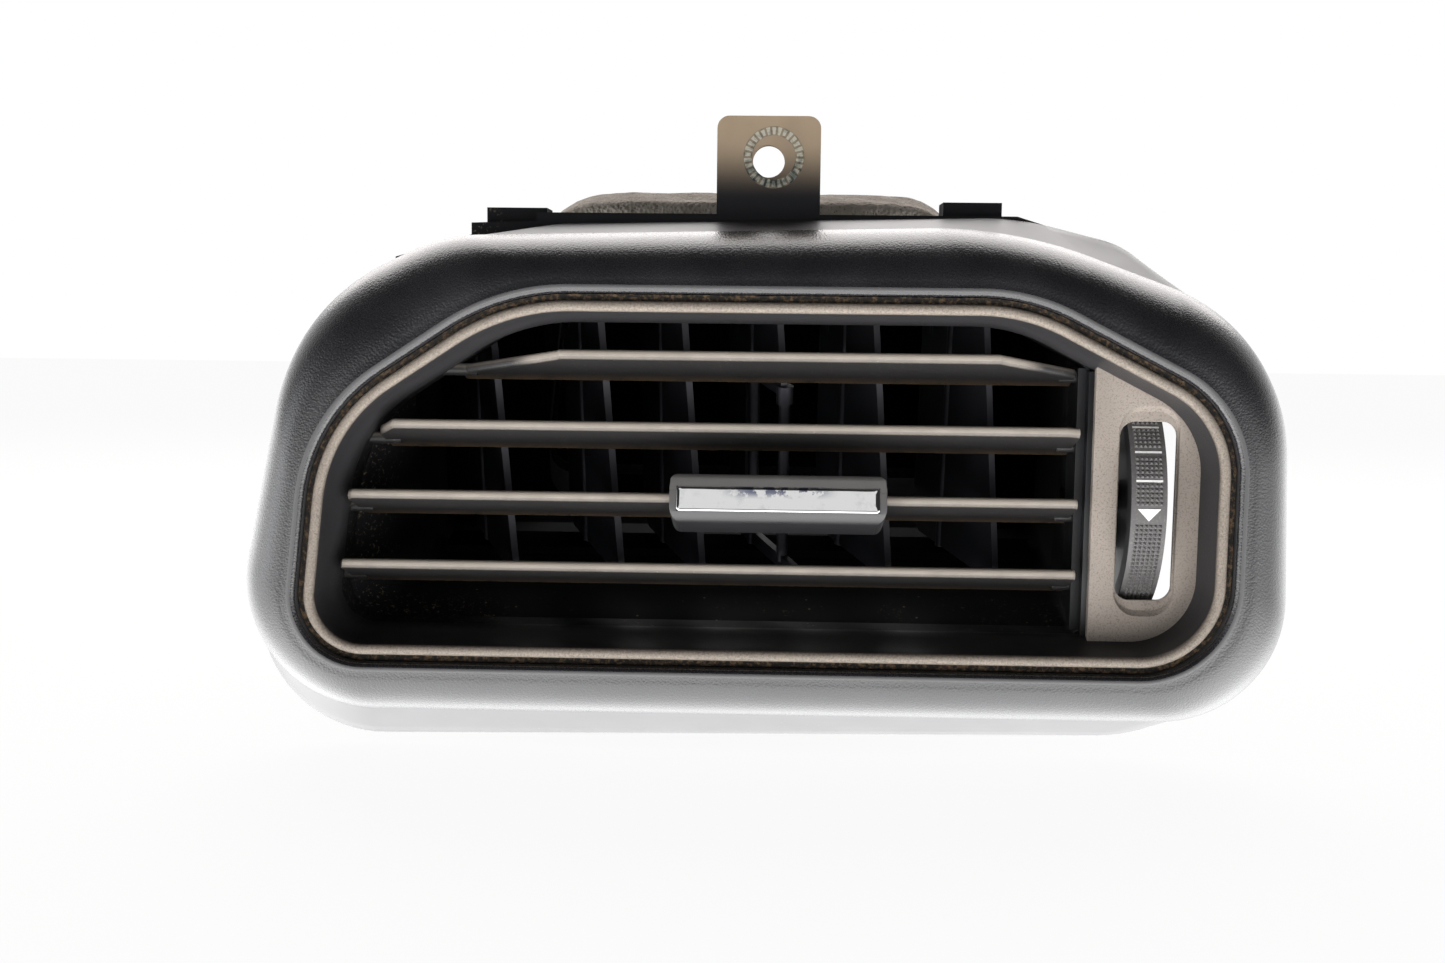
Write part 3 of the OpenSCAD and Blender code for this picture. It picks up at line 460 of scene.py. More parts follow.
# %% Finish of the vane housing
def housing_plastic():
    f = Finish("housing_plastic", Specular_IOR_Level=0.25)
    broad = f.noise(11.0, 4.0)
    depth = f.axis("Y")
    height = f.axis("Z")
    floor_area = (-height).fade(-20.0, 5.0) * (depth + 16.0).fade(-2.0, 2.0)
    left_wall = (-f.axis("X")).fade(54.0, 62.0) * (16.0 + depth).fade(2.0, 6.0) * (8.0 - depth).fade(0.0, 8.0)
    specks = (1.0 - f.cells(3.4)).fade(0.91, 0.94) * f.lottery(3.4).above(0.55) * 0.75
    patches = f.noise(7.0, 2.0).fade(0.5, 0.7) * 0.55 + left_wall * 0.8
    fluff = f.noise(0.8, 3.0, 0.7).fade(0.56, 0.72) * patches
    dusty = ((specks + fluff) * floor_area.most(left_wall)).least(1.0)
    # Painted shade: the colour goes near-black deeper inside, where little light reaches.
    deep = depth.fade(-2.0, 10.0)
    black = f.mix(deep, f.mix(dusty, rgb(26, 27, 31), DUST), rgb(5, 5, 6))
    haze = height.fade(58.0, 71.0) * (0.75 + 0.5 * broad)
    f.put("Base Color", f.mix(haze.least(1.0) * 0.85, black, rgb(160, 141, 118)))
    f.put("Roughness", (0.5 + 0.2 * broad + 0.2 * dusty + 0.5 * deep).least(1.0))
    f.put("Normal", f.bump(f.noise(0.45, 2.0), 0.008))
    return f.material


HOUSING = housing_plastic()
print("finish:", HOUSING.name)

# %% [markdown]
# The duct is plain dull black, darker than the other black plastic: painted shade for the dark depth of the vent.
# Brown dust is packed in the groove between the bezel and the face frame, dark where it is thin and lighter where
# it is thick.

# %% Finishes of the duct and the dust in the groove
def duct_plastic():
    f = Finish("duct_plastic", Specular_IOR_Level=0.0)
    # Painted shade: the duct, the door and its rails are darkened to stand for the dark inside of the vent.
    f.put("Base Color", f.mix(f.noise(7.0, 3.0), rgb(10, 10, 11), rgb(20, 20, 22)))
    f.put("Roughness", 0.8 + 0.15 * f.noise(3.0))
    return f.material


def groove_dust():
    f = Finish("groove_dust", Specular_IOR_Level=0.3)
    thickness = f.noise(0.7, 4.0, 0.7).fade(0.46, 0.66)
    f.put("Base Color", f.mix(thickness, rgb(26, 24, 22), rgb(104, 84, 62)))
    f.put("Roughness", 0.7 + 0.1 * f.noise(2.0))
    return f.material


DUCT = duct_plastic()
GROOVE_DUST = groove_dust()
print("finishes:", DUCT.name, GROOVE_DUST.name)

# %% [markdown]
# A screw's toothed flange has scraped the tab: pale scratches on a darker worn ring. Both get paler towards the
# top, as the tab does.

# %% Finishes of the screw's print
def printed_scratch(name, dark, light):
    f = Finish(name, Specular_IOR_Level=0.4)
    high = f.axis("Z").fade(63.0, 70.0)
    worn = f.noise(1.2, 3.0).fade(0.35, 0.65)
    f.put("Base Color", f.mix((worn * 0.7 + high * 0.6).least(1.0), dark, light))
    f.put("Roughness", 0.5 + 0.2 * f.noise(2.0))
    return f.material


PRINT = printed_scratch("screw_print", rgb(84, 92, 86), rgb(168, 164, 150))
PRINT_GROUND = printed_scratch("screw_print_ground", rgb(30, 33, 32), rgb(128, 116, 98))
print("finishes so far:", len([material for material in bpy.data.materials if material.use_nodes]))

# %% [markdown]
# Outlines first. Every moulding of this vent follows a rounded outline with six or seven corners. A corner
# is x, z and a radius. The outline is turned to points: straight edges need none of their own, and each
# rounded corner gets a fan of points on its arc. Moving an outline in or out moves its corners along the
# bisectors and changes the radii by the same amount, as a parallel line does on paper.

# %% Outline helpers
ARC_STEPS = 22


def side(corners, i):
    a = Vector(corners[i % len(corners)][:2])
    b = Vector(corners[(i + 1) % len(corners)][:2])
    return (b - a).normalized()


def left_of(direction):
    return Vector((-direction.y, direction.x))


def bisector(corners, i):
    first = left_of(side(corners, i - 1))
    second = left_of(side(corners, i))
    return (first + second) / (1 + first.dot(second))


def inset(corners, distance):
    moved = []
    for i, (x, z, radius) in enumerate(corners):
        step = bisector(corners, i) * distance
        moved.append((x + step.x, z + step.y, max(radius - distance, 0.4)))
    return moved


def split(corners, k):
    """Corner k becomes two corners that lie on the same arc."""
    radius = corners[k][2]
    to_centre = bisector(corners, k)
    turn = math.acos(side(corners, k - 1).dot(side(corners, k)))
    middle = Vector(corners[k][:2]) + to_centre * radius - to_centre.normalized() * radius
    along = left_of(to_centre.normalized()) * -radius * math.tan(turn / 4)
    pair = [(*(middle - along), radius), (*(middle + along), radius)]
    return corners[:k] + pair + corners[k + 1:]


def outline(corners, steps=ARC_STEPS):
    points = []
    for i, (x, z, radius) in enumerate(corners):
        run = side(corners, i - 1)
        normal = left_of(run)
        turn = math.acos(max(-1, min(1, run.dot(side(corners, i)))))
        centre = Vector((x, z)) + bisector(corners, i) * radius
        for k in range(steps + 1):
            angle = turn * k / steps
            points.append(centre + (run * math.sin(angle) - normal * math.cos(angle)) * radius)
    return points


def ring(corners, y):
    return [Vector((p.x, y, p.y)) for p in outline(corners)]


def between(inner, outer, share, y):
    return [Vector((a.x + (b.x - a.x) * share, y, a.z + (b.z - a.z) * share)) for a, b in zip(inner, outer)]


# %% [markdown]
# A loft by hand: start from a circle of vertices, put them on the first ring, extrude, put the new vertices
# on the next ring, and so on. Each vertex remembers its number on the ring in an integer layer, and extruding
# copies that number, so the new vertices always know where to go.

# %% Loft helper
def added(name, operator, **options):
    """What one of Blender's add operators makes, with a name and with nothing else selected."""
    bpy.ops.object.select_all(action="DESELECT")
    operator(**options)
    bpy.context.object.name = name
    return bpy.context.object


def loft(name, rings, closed=True):
    piece = added(name, bpy.ops.mesh.primitive_circle_add, vertices=len(rings[0]), radius=0.01)
    bpy.ops.object.mode_set(mode="EDIT")
    mesh = bmesh.from_edit_mesh(piece.data)
    number = mesh.verts.layers.int.new("ring_place")
    mesh.verts.ensure_lookup_table()
    for i, vertex in enumerate(mesh.verts):
        vertex[number] = i
    path = rings + [rings[0]] if closed else rings
    for k, points in enumerate(path):
        if k:
            bpy.ops.mesh.extrude_region_move()
            mesh = bmesh.from_edit_mesh(piece.data)
            number = mesh.verts.layers.int["ring_place"]
        for vertex in mesh.verts:
            if vertex.select:
                vertex.co = points[vertex[number]] * MM
        bmesh.update_edit_mesh(piece.data)
    if not closed:
        bpy.ops.mesh.edge_face_add()
        bpy.ops.mesh.select_all(action="DESELECT")
        mesh = bmesh.from_edit_mesh(piece.data)
        for vertex in mesh.verts:
            vertex.select = vertex.is_boundary
        mesh.select_flush(True)
        bmesh.update_edit_mesh(piece.data)
        bpy.ops.mesh.edge_face_add()
    bpy.ops.mesh.select_all(action="SELECT")
    bpy.ops.mesh.remove_doubles(threshold=0.000001)
    bpy.ops.mesh.normals_make_consistent(inside=False)
    bpy.ops.object.mode_set(mode="OBJECT")
    return piece


def smooth(piece, degrees=28):
    bpy.ops.object.select_all(action="DESELECT")
    piece.select_set(True)
    bpy.context.view_layer.objects.active = piece
    bpy.ops.object.shade_smooth_by_angle(angle=math.radians(degrees))


def paint(piece, *materials):
    for material in materials:
        piece.data.materials.append(material)


# %% [markdown]
# The bezel is one moulding: a roll edge round the opening, a rounded grained face out to a crest line, a
# small step there, and a smooth skirt that flares back to the dashboard. The same corner lists as in the
# part's source give its three outlines, so the smooth version lies on the CAD solid.

# %% Outlines of the vent
OPENING = split([(93, -37.6, 18), (93, 15.5, 22), (51, 37, 40), (-53.3, 37, 45), (-91.8, 11.7, 35),
                 (-97.3, -37.6, 13)], 1)
CREST = split([(108.7, -50.4, 25.4), (105.4, 31.4, 38), (48.9, 51.9, 92), (-67.7, 49.2, 34),
               (-98.6, 34.3, 43), (-116.8, -50.6, 28)], 1)
SKIRT = [(107.7, -56.9, 34), (103, 28, 30), (73, 49.8, 18), (52, 54.8, 60), (-49.9, 52.7, 39),
         (-95.0, 32, 45), (-120.5, -60.4, 27)]
ROLL_Y = -26.0
CREST_Y = -13.0
print("opening:", len(OPENING), "corners")

# %% [markdown]
# The bezel's section is walked once round: up the roll edge, out over the face on an arc, over the crest, down
# the skirt and back along the inner side. Each stop of that walk is one ring of the loft. Faces that lie in
# front of the crest get the grain, and all others stay satin.

# %% Bezel
BEZEL_WALL = 2.2
FACE_STEPS = 16
FACE_TURN = math.radians(76)


def bezel_rings():
    inner = ring(inset(OPENING, -2.6), 0)
    outer = ring(CREST, 0)
    rings = [ring(inset(OPENING, -0.5), ROLL_Y + 9), ring(inset(OPENING, -0.5), ROLL_Y + 1)]
    for distance, back in ((0.62, 0.55), (0.9, 0.25), (1.3, 0.06), (1.7, 0.0), (2.15, 0.05)):
        rings.append(ring(inset(OPENING, -distance), ROLL_Y + back))
    rings.append(ring(inset(OPENING, -2.6), ROLL_Y + 0.2))
    for k in range(1, FACE_STEPS):
        angle = FACE_TURN * k / FACE_STEPS
        back = 0.2 + (CREST_Y - ROLL_Y - 0.2) * (1 - math.cos(angle)) / (1 - math.cos(FACE_TURN))
        rings.append(between(inner, outer, math.sin(angle) / math.sin(FACE_TURN), ROLL_Y + back))
    rings += [ring(CREST, CREST_Y - 0.3), ring(inset(CREST, 0.12), CREST_Y + 0.05),
              ring(inset(CREST, 0.4), CREST_Y + 0.4)]
    low = ring(inset(CREST, 0.4), 0)
    high = ring(SKIRT, 0)
    for share in (0.25, 0.5, 0.75, 0.96):
        rings.append(between(low, high, share, CREST_Y + 0.4 + (0 - CREST_Y - 0.4) * share))
    rings += [ring(inset(SKIRT, 0.3), 0), ring(inset(SKIRT, BEZEL_WALL), 0),
              ring(inset(CREST, BEZEL_WALL + 0.4), CREST_Y + 1.5), between(inner, outer, 0.55, ROLL_Y + 4.8),
              ring(inset(OPENING, -2.9), ROLL_Y + 2.8), ring(inset(OPENING, -2.7), ROLL_Y + 9)]
    return rings


bezel = loft("bezel_moulding", bezel_rings())
paint(bezel, SATIN, GRAIN)
for face in bezel.data.polygons:
    middle = face.center / MM
    in_front = middle.y < CREST_Y - 0.1 and face.normal.y < -0.05
    face.material_index = 1 if in_front and middle.y > ROLL_Y + 0.12 else 0
print("bezel faces:", len(bezel.data.polygons))
smooth(bezel, 32)
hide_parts("bezel")
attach(bezel, "base")

# %% [markdown]
# The bezel snaps to the housing with five hooks behind its seat. Each is a flat tongue with a small wedge at
# its end. A cube is stretched to the tongue, and a second one becomes the wedge when its outer edge is pulled
# forward. One hook is modelled and copied to five places, the lower ones mirrored to point down.

# %% Snap hooks of the bezel
HOOK_WALL = 1.8
HOOK_WIDTH = 8.0
HOOK_REACH = 5.0
HOOK_PLACES = [(-32, 43.6, 1), (32, 43.6, 1), (-60, -44.2, -1), (0, -44.2, -1), (60, -44.2, -1)]


def box_piece(name, low, high):
    """A box between two corners, in millimetres, with its place in its mesh."""
    piece = added(name, bpy.ops.mesh.primitive_cube_add, size=1)
    piece.scale = [(b - a) * MM for a, b in zip(low, high)]
    piece.location = [(a + b) / 2 * MM for a, b in zip(low, high)]
    bpy.ops.object.transform_apply()
    return piece


def select_only(piece):
    bpy.ops.object.select_all(action="DESELECT")
    piece.select_set(True)
    bpy.context.view_layer.objects.active = piece


def soften(piece, width_mm, segments=2, degrees=30):
    """A bevel on the sharp edges only, applied, then smooth shading."""
    select_only(piece)
    bevel = piece.modifiers.new("edges", "BEVEL")
    bevel.width = width_mm * MM
    bevel.segments = segments
    bevel.limit_method = "ANGLE"
    bevel.angle_limit = math.radians(degrees)
    bpy.ops.object.modifier_apply(modifier=bevel.name)
    smooth(piece, 35)


def join(name, pieces):
    select_only(pieces[0])
    for piece in pieces:
        piece.select_set(True)
    bpy.ops.object.join()
    pieces[0].name = name
    return pieces[0]


def copies(model, moves):
    """A copy of the model for each move, each with its own mesh. Mirrored ones get their faces turned out again."""
    made = []
    for move in moves:
        twin = model.copy()
        twin.data = model.data.copy()
        twin.data.transform(move)
        if move.determinant() < 0:
            twin.data.flip_normals()
        bpy.context.collection.objects.link(twin)
        made.append(twin)
    bpy.data.objects.remove(model)
    return made


def snap_hook():
    """One hook in the middle, with its wedge on top."""
    half = HOOK_WIDTH / 2
    hook = box_piece("hook", (-half, ROLL_Y + 6, 0), (half, HOOK_REACH, HOOK_WALL))
    catch = box_piece("catch", (-half, 2.3, HOOK_WALL), (half, HOOK_REACH, HOOK_WALL + 1))
    for vertex in catch.data.vertices:
        if vertex.co.z / MM > HOOK_WALL + 0.5 and vertex.co.y / MM > 3:
            vertex.co.y = 3.5 * MM
    soften(hook, 0.25)
    soften(catch, 0.15)
    return join("snap_hook", [hook, catch])


hook_moves = [Matrix.Translation(Vector((x, 0, z)) * MM) @ Matrix.Diagonal((1, 1, way, 1))
              for x, z, way in HOOK_PLACES]
hooks = join("bezel_hooks", copies(snap_hook(), hook_moves))
paint(hooks, SATIN)
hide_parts("bezel")
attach(hooks, "base")
print("hooks:", len(HOOK_PLACES))

# %% [markdown]
# The face frame is one moulding too: a rounded lip beside the bezel, a deep band that runs back into the
# opening, and a flat panel for the wheel at the right. The ring is lofted like the bezel. The lip is half an
# ellipse in section, so its highlight stays thin and even all the way round.

# %% Ring of the face frame
GROOVE = 1.5
LIP_WIDTH = 2.2
LIP_INSET = GROOVE * 0.67
BAND_SLOPE = 2.1
BAND_INSET = LIP_INSET + LIP_WIDTH + BAND_SLOPE
FRAME_WALL = 1.6
FRAME_Y = ROLL_Y + 0.8
FRAME_BACK = ROLL_Y + 14.5
LIP_STEPS = 12
BAND_STEPS = 6


def frame_rings():
    rings = [ring(inset(OPENING, BAND_INSET), FRAME_BACK)]
    for k in range(BAND_STEPS, 0, -1):
        share = k / BAND_STEPS
        distance = LIP_INSET + LIP_WIDTH + BAND_SLOPE * share - 0.5 * math.sin(math.pi * share)
        rings.append(ring(inset(OPENING, distance), FRAME_Y + 1 + 10 * share))
    for k in range(LIP_STEPS + 1):
        turn = math.pi * k / LIP_STEPS
        middle = LIP_INSET + LIP_WIDTH / 2
        rings.append(ring(inset(OPENING, middle + LIP_WIDTH / 2 * math.cos(turn)), FRAME_Y + 1 - math.sin(turn)))
    rings += [ring(inset(OPENING, LIP_INSET), FRAME_BACK), ring(inset(OPENING, LIP_INSET + FRAME_WALL), FRAME_BACK),
              ring(inset(OPENING, LIP_INSET + FRAME_WALL + 0.1), FRAME_Y + 3),
              ring(inset(OPENING, BAND_INSET - FRAME_WALL), FRAME_BACK)]
    return rings


frame_ring = loft("face_frame_ring", frame_rings())
paint(frame_ring, LIP, SHADED_BAND, GROOVE_DUST)
for face in frame_ring.data.polygons:
    middle = face.center / MM
    if middle.y < FRAME_Y + 1.05:
        face.material_index = 0
    else:
        outward = middle.x * face.normal.x + middle.z * face.normal.z > 0
        face.material_index = 2 if outward else 1
smooth(frame_ring, 40)
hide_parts("face_frame")
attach(frame_ring, "base")
print("frame ring faces:", len(frame_ring.data.polygons))

# %% [markdown]
# Brown dust has packed the narrow groove between the bezel and the face frame. A thin ring deep in the groove
# stands for it, and its finish is patchy, so the groove looks dirty and not simply black.

# %% Dust in the groove
DUST_Y = FRAME_Y + 1.7
dust_ring = loft("groove_dust_ring", [ring(inset(OPENING, LIP_INSET + 0.3), DUST_Y),
                                      ring(inset(OPENING, LIP_INSET + 0.3), DUST_Y + 0.6),
                                      ring(inset(OPENING, -0.3), DUST_Y + 0.6), ring(inset(OPENING, -0.3), DUST_Y)])
paint(dust_ring, GROOVE_DUST)
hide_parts("face_frame")
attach(dust_ring, "base")
print("dust ring faces:", len(dust_ring.data.polygons))

# %% [markdown]
# The wheel panel is a plate with a slot. Round the slot lies a shallow scoop for the thumb. Both are cut with
# Boolean modifiers from rounded blocks, and a fine bevel afterwards gives the edges the small radius that
# every moulded edge has and that catches the light.

# %% Wheel panel
PANEL_X = 66.5
PANEL_Y = ROLL_Y + 10
PANEL_WALL = 2.0
SLOT = (77.75, -5.8)
SLOT_WIDTH = 11.6
SLOT_LENGTH = 37.0
SCOOP_END = 3.2
SCOOP_DEPTH = 1.0


def height_on(p, q, x):
    return p[1] + (q[1] - p[1]) * (x - p[0]) / (q[0] - p[0])


def slab(name, corners, front, back):
    return loft(name, [ring(corners, front), ring(corners, back)], closed=False)


def rounded(width, length, radius):
    x, z = SLOT
    return [(x + width / 2, z - length / 2, radius), (x + width / 2, z + length / 2, radius),
            (x - width / 2, z + length / 2, radius), (x - width / 2, z - length / 2, radius)]


def cut(piece, tool):
    select_only(piece)
    boolean = piece.modifiers.new("cut", "BOOLEAN")
    boolean.object = tool
    boolean.solver = "EXACT"
    bpy.ops.object.modifier_apply(modifier=boolean.name)
    bpy.data.objects.remove(tool)


edge = inset(OPENING, BAND_INSET - FRAME_WALL / 2)
panel_corners = [(PANEL_X, edge[0][1], 0.3), edge[0], edge[1], edge[2],
                 (PANEL_X, height_on(edge[2], edge[3], PANEL_X), 0.3)]
panel = slab("wheel_panel", panel_corners, PANEL_Y, PANEL_Y + PANEL_WALL)
cut(panel, slab("slot_tool", rounded(SLOT_WIDTH, SLOT_LENGTH, 3), PANEL_Y - 1, PANEL_Y + PANEL_WALL + 1))
scoop_length = SLOT_LENGTH + 2 * SCOOP_END
scoop_rings = [ring(rounded(SLOT_WIDTH + 1.6, scoop_length + 0.8, 5.5), PANEL_Y - 0.6),
               ring(rounded(SLOT_WIDTH + 0.7, scoop_length, 5), PANEL_Y + 0.1),
               ring(rounded(SLOT_WIDTH + 0.5, scoop_length - 2.2, 4.4), PANEL_Y + SCOOP_DEPTH)]
cut(panel, loft("scoop_tool", scoop_rings, closed=False))
soften(panel, 0.3, 3)
paint(panel, PANEL)
return_wall = box_piece("panel_return", (PANEL_X - 1.1, PANEL_Y + PANEL_WALL, edge[0][1] + 0.6),
                        (PANEL_X + FRAME_WALL, FRAME_BACK, panel_corners[4][1] - 1.2))
soften(return_wall, 0.2)
paint(return_wall, BLACK)
for piece in (panel, return_wall):
    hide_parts("face_frame")
    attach(piece, "base")
print("panel faces:", len(panel.data.polygons))

# %% [markdown]
# The rim of the thumbwheel has rows of small pyramids so that a thumb can turn it. A flat grid is rolled onto
# the rim: each vertex keeps its number in the grid, its column becomes a place along the axle, and its row an
# angle. The poke operator then gives every knurled square a raised middle, which makes it a pyramid. Some rows
# stay smooth for the white marks.

# %% Knurl of the thumbwheel
WHEEL_R = 26.0
WHEEL_CENTRE = Vector((77.1, 5.5, -5.0))
WHEEL_WIDTH = 7.2
KNURL_COLUMNS = 6
KNURL_BORDER = 0.8
KNURL_HEIGHT = 0.42
ROW_STEP = math.degrees(0.93 / WHEEL_R)
ROWS = 90
LINE_ANGLES = (39.4, 26.7, 13.3)
ARROW_ANGLE = -2.0


def on_rim(x, degrees, radius):
    """A point on the rim: 0 degrees faces the passenger, positive angles go up."""
    angle = math.radians(degrees)
    return WHEEL_CENTRE + Vector((x, -radius * math.cos(angle), radius * math.sin(angle)))


def rim_grid(name):
    piece = added(name, bpy.ops.mesh.primitive_grid_add, x_subdivisions=KNURL_COLUMNS + 2,
                  y_subdivisions=ROWS, size=1)
    width = WHEEL_WIDTH / 2
    stops = [-width] + [-width + KNURL_BORDER + k * (WHEEL_WIDTH - 2 * KNURL_BORDER) / KNURL_COLUMNS
                        for k in range(KNURL_COLUMNS + 1)] + [width]
    for vertex in piece.data.vertices:
        column = round((vertex.co.x + 0.5) * (KNURL_COLUMNS + 2))
        row = round((vertex.co.y + 0.5) * ROWS)
        vertex.co = on_rim(stops[column], (row - ROWS / 2) * ROW_STEP, WHEEL_R + 0.02) * MM
    return piece


def smooth_row(degrees):
    near_line = any(abs(degrees - line) < 1.25 for line in LINE_ANGLES)
    return near_line or abs(degrees - ARROW_ANGLE) < 3.3


knurl = rim_grid("wheel_knurl")
select_only(knurl)
bpy.ops.object.mode_set(mode="EDIT")
bpy.ops.mesh.select_all(action="DESELECT")
mesh = bmesh.from_edit_mesh(knurl.data)
knurled = 0
for face in mesh.faces:
    middle = face.calc_center_median() / MM - WHEEL_CENTRE
    angle = math.degrees(math.atan2(middle.z, -middle.y))
    inner = abs(middle.x) < WHEEL_WIDTH / 2 - KNURL_BORDER
    if inner and not smooth_row(angle):
        face.select = True
        knurled += 1
bmesh.update_edit_mesh(knurl.data)
bpy.ops.mesh.inset(thickness=0.07 * MM, use_individual=True)
bpy.ops.mesh.poke(offset=KNURL_HEIGHT * MM)
bpy.ops.mesh.select_all(action="SELECT")
bpy.ops.mesh.normals_make_consistent(inside=False)
bpy.ops.object.mode_set(mode="OBJECT")
outward = sum(face.normal.y < 0 for face in knurl.data.polygons) > len(knurl.data.polygons) / 2
if not outward:
    knurl.data.flip_normals()
paint(knurl, WHEEL)
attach(knurl, "wheel")
print("pyramids:", knurled, "outward:", outward)

# %% [markdown]
# The marks on the wheel are three white lines and an arrow head, printed on the smooth rows. Each is a thin
# plate that follows the rim, so it is cut fine enough along the curve to lie on it.

# %% Marks on the wheel
MARK_WIDTH = 5.4
MARK_HEIGHT = 0.46
ARROW_WIDTH = 4.7
ARROW_HEIGHT = 2.5
PAINT_RISE = 0.06


def rim_plate(name, outline_points):
    """A flat shape given as (x, degrees) points, laid on the rim and given a little thickness."""
    piece = added(name, bpy.ops.mesh.primitive_circle_add, vertices=len(outline_points), radius=0.01,
                  fill_type="NGON")
    for vertex, (x, degrees) in zip(piece.data.vertices, outline_points):
        vertex.co = on_rim(x, degrees, WHEEL_R + 0.03) * MM
    bpy.ops.object.mode_set(mode="EDIT")
    bpy.ops.mesh.select_all(action="SELECT")
    bpy.ops.mesh.extrude_region_move(TRANSFORM_OT_translate={"value": (0, -PAINT_RISE * MM, 0)})
    bpy.ops.mesh.select_all(action="SELECT")
    bpy.ops.mesh.normals_make_consistent(inside=False)
    bpy.ops.object.mode_set(mode="OBJECT")
    return piece


def line_mark(degrees):
    half = math.degrees(MARK_HEIGHT / 2 / WHEEL_R)
    return rim_plate("line", [(MARK_WIDTH / 2, degrees - half), (MARK_WIDTH / 2, degrees + half),
                              (-MARK_WIDTH / 2, degrees + half), (-MARK_WIDTH / 2, degrees - half)])


def arrow_mark(degrees):
    half = math.degrees(ARROW_HEIGHT / 2 / WHEEL_R)
    return rim_plate("arrow", [(0, degrees - half), (ARROW_WIDTH / 2, degrees + half),
                               (-ARROW_WIDTH / 2, degrees + half)])


marks = join("wheel_marks", [line_mark(angle) for angle in LINE_ANGLES] + [arrow_mark(ARROW_ANGLE)])
paint(marks, PAINT)
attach(marks, "wheel")
print("marks:", len(LINE_ANGLES) + 1)

# %% [markdown]
# The knob's two shells are right in size but have knife-sharp edges, because the CAD solids leave small edge
# radii out. A copy of each solid is merged and cleaned of its triangles, a few of its points are shifted to
# the lines that the photograph shows, and a bevel rounds its edges. The knob stands tilted on its vane, so
# the shifts are written in the knob's own frame.

# %% Rounded copies of the knob's shells
knob_frame = Matrix.Translation(KNOB_PIVOT * MM) @ Matrix.Rotation(KNOB_TILT, 4, "X")
KNOB_FRONT = -16.5
LOWER_SHARE = 1.38


def merged_copy(node):
    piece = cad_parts[node].copy()
    piece.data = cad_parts[node].data.copy()
    bpy.context.collection.objects.link(piece)
    piece.name = node + "_rounded"
    piece.data.materials.clear()
    select_only(piece)
    bpy.ops.object.mode_set(mode="EDIT")
    bpy.ops.mesh.select_all(action="SELECT")
    bpy.ops.mesh.remove_doubles(threshold=0.000002)
    bpy.ops.mesh.dissolve_limited(angle_limit=math.radians(0.6))
    bpy.ops.object.mode_set(mode="OBJECT")
    return piece


def reshape(piece, rule):
    """Move every vertex by a rule written in the knob's own frame, in millimetres."""
    into = knob_frame.inverted() @ piece.matrix_world
    back = into.inverted()
    for vertex in piece.data.vertices:
        vertex.co = back @ (rule((into @ vertex.co) / MM) * MM)


def upper_rule(point):
    if point.y < KNOB_FRONT + 4 and 0.1 < point.z < 2.25:
        return Vector((point.x, point.y, 0.95))
    return point


def lower_rule(point):
    return Vector((point.x, point.y, point.z * LOWER_SHARE))


for node, rule, width in (("knob_upper", upper_rule, 0.35), ("knob_lower", lower_rule, 0.45)):
    piece = merged_copy(node)
    reshape(piece, rule)
    soften(piece, width, 3, 25)
    paint(piece, KNOB)
    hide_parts(node)
    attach(piece, "slider")
    heights = [(knob_frame.inverted() @ piece.matrix_world @ vertex.co).z / MM for vertex in piece.data.vertices]
    print(piece.name, len(piece.data.polygons), "faces, from", round(min(heights), 2), "to", round(max(heights), 2))

# %% [markdown]
# The chrome bar is a flat pillow: its outline shrinks towards the front along a quarter of an ellipse. A mirror
# shows its form only through such a curve, which gathers the bright room in lines along its edges.

# %% Chrome bar of the knob
BAR_WIDTH = 41.0
BAR_LOW = -4.2
BAR_HIGH = 0.98
BAR_BULGE = 0.5
bar_middle = sum(corner[0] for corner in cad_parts["knob_chrome"].bound_box) / 8 / MM
bar_corners = [(bar_middle + BAR_WIDTH / 2, BAR_LOW, 0.8), (bar_middle + BAR_WIDTH / 2, BAR_HIGH, 0.8),
               (bar_middle - BAR_WIDTH / 2, BAR_HIGH, 0.8), (bar_middle - BAR_WIDTH / 2, BAR_LOW, 0.8)]
bar_rings = [ring(bar_corners, KNOB_FRONT + 1.1)]
for k in range(10):
    turn = math.radians(9 * k)
    shrink = (BAR_HIGH - BAR_LOW) / 2 * (1 - math.cos(turn))
    bar_rings.append(ring(inset(bar_corners, shrink), KNOB_FRONT + 0.1 - BAR_BULGE * math.sin(turn)))
chrome_bar = loft("chrome_bar", bar_rings, closed=False)
chrome_bar.matrix_world = knob_frame
select_only(chrome_bar)
bpy.ops.object.transform_apply()
smooth(chrome_bar, 50)
paint(chrome_bar, CHROME)
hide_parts("knob_chrome")
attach(chrome_bar, "slider")
print("chrome bar middle", round(bar_middle, 2), len(chrome_bar.data.polygons), "faces")

# %% [markdown]
# The foam collar is soft open foam, cut from sheet and glued round the inlet. Its edges are round and its
# faces uneven. The CAD solid is copied, rounded, remeshed to even faces, and every point is moved a little
# inwards by two sizes of noise, so that it never grows out of the solid.

# %% Foam collar and the door's foam edge
from mathutils import noise


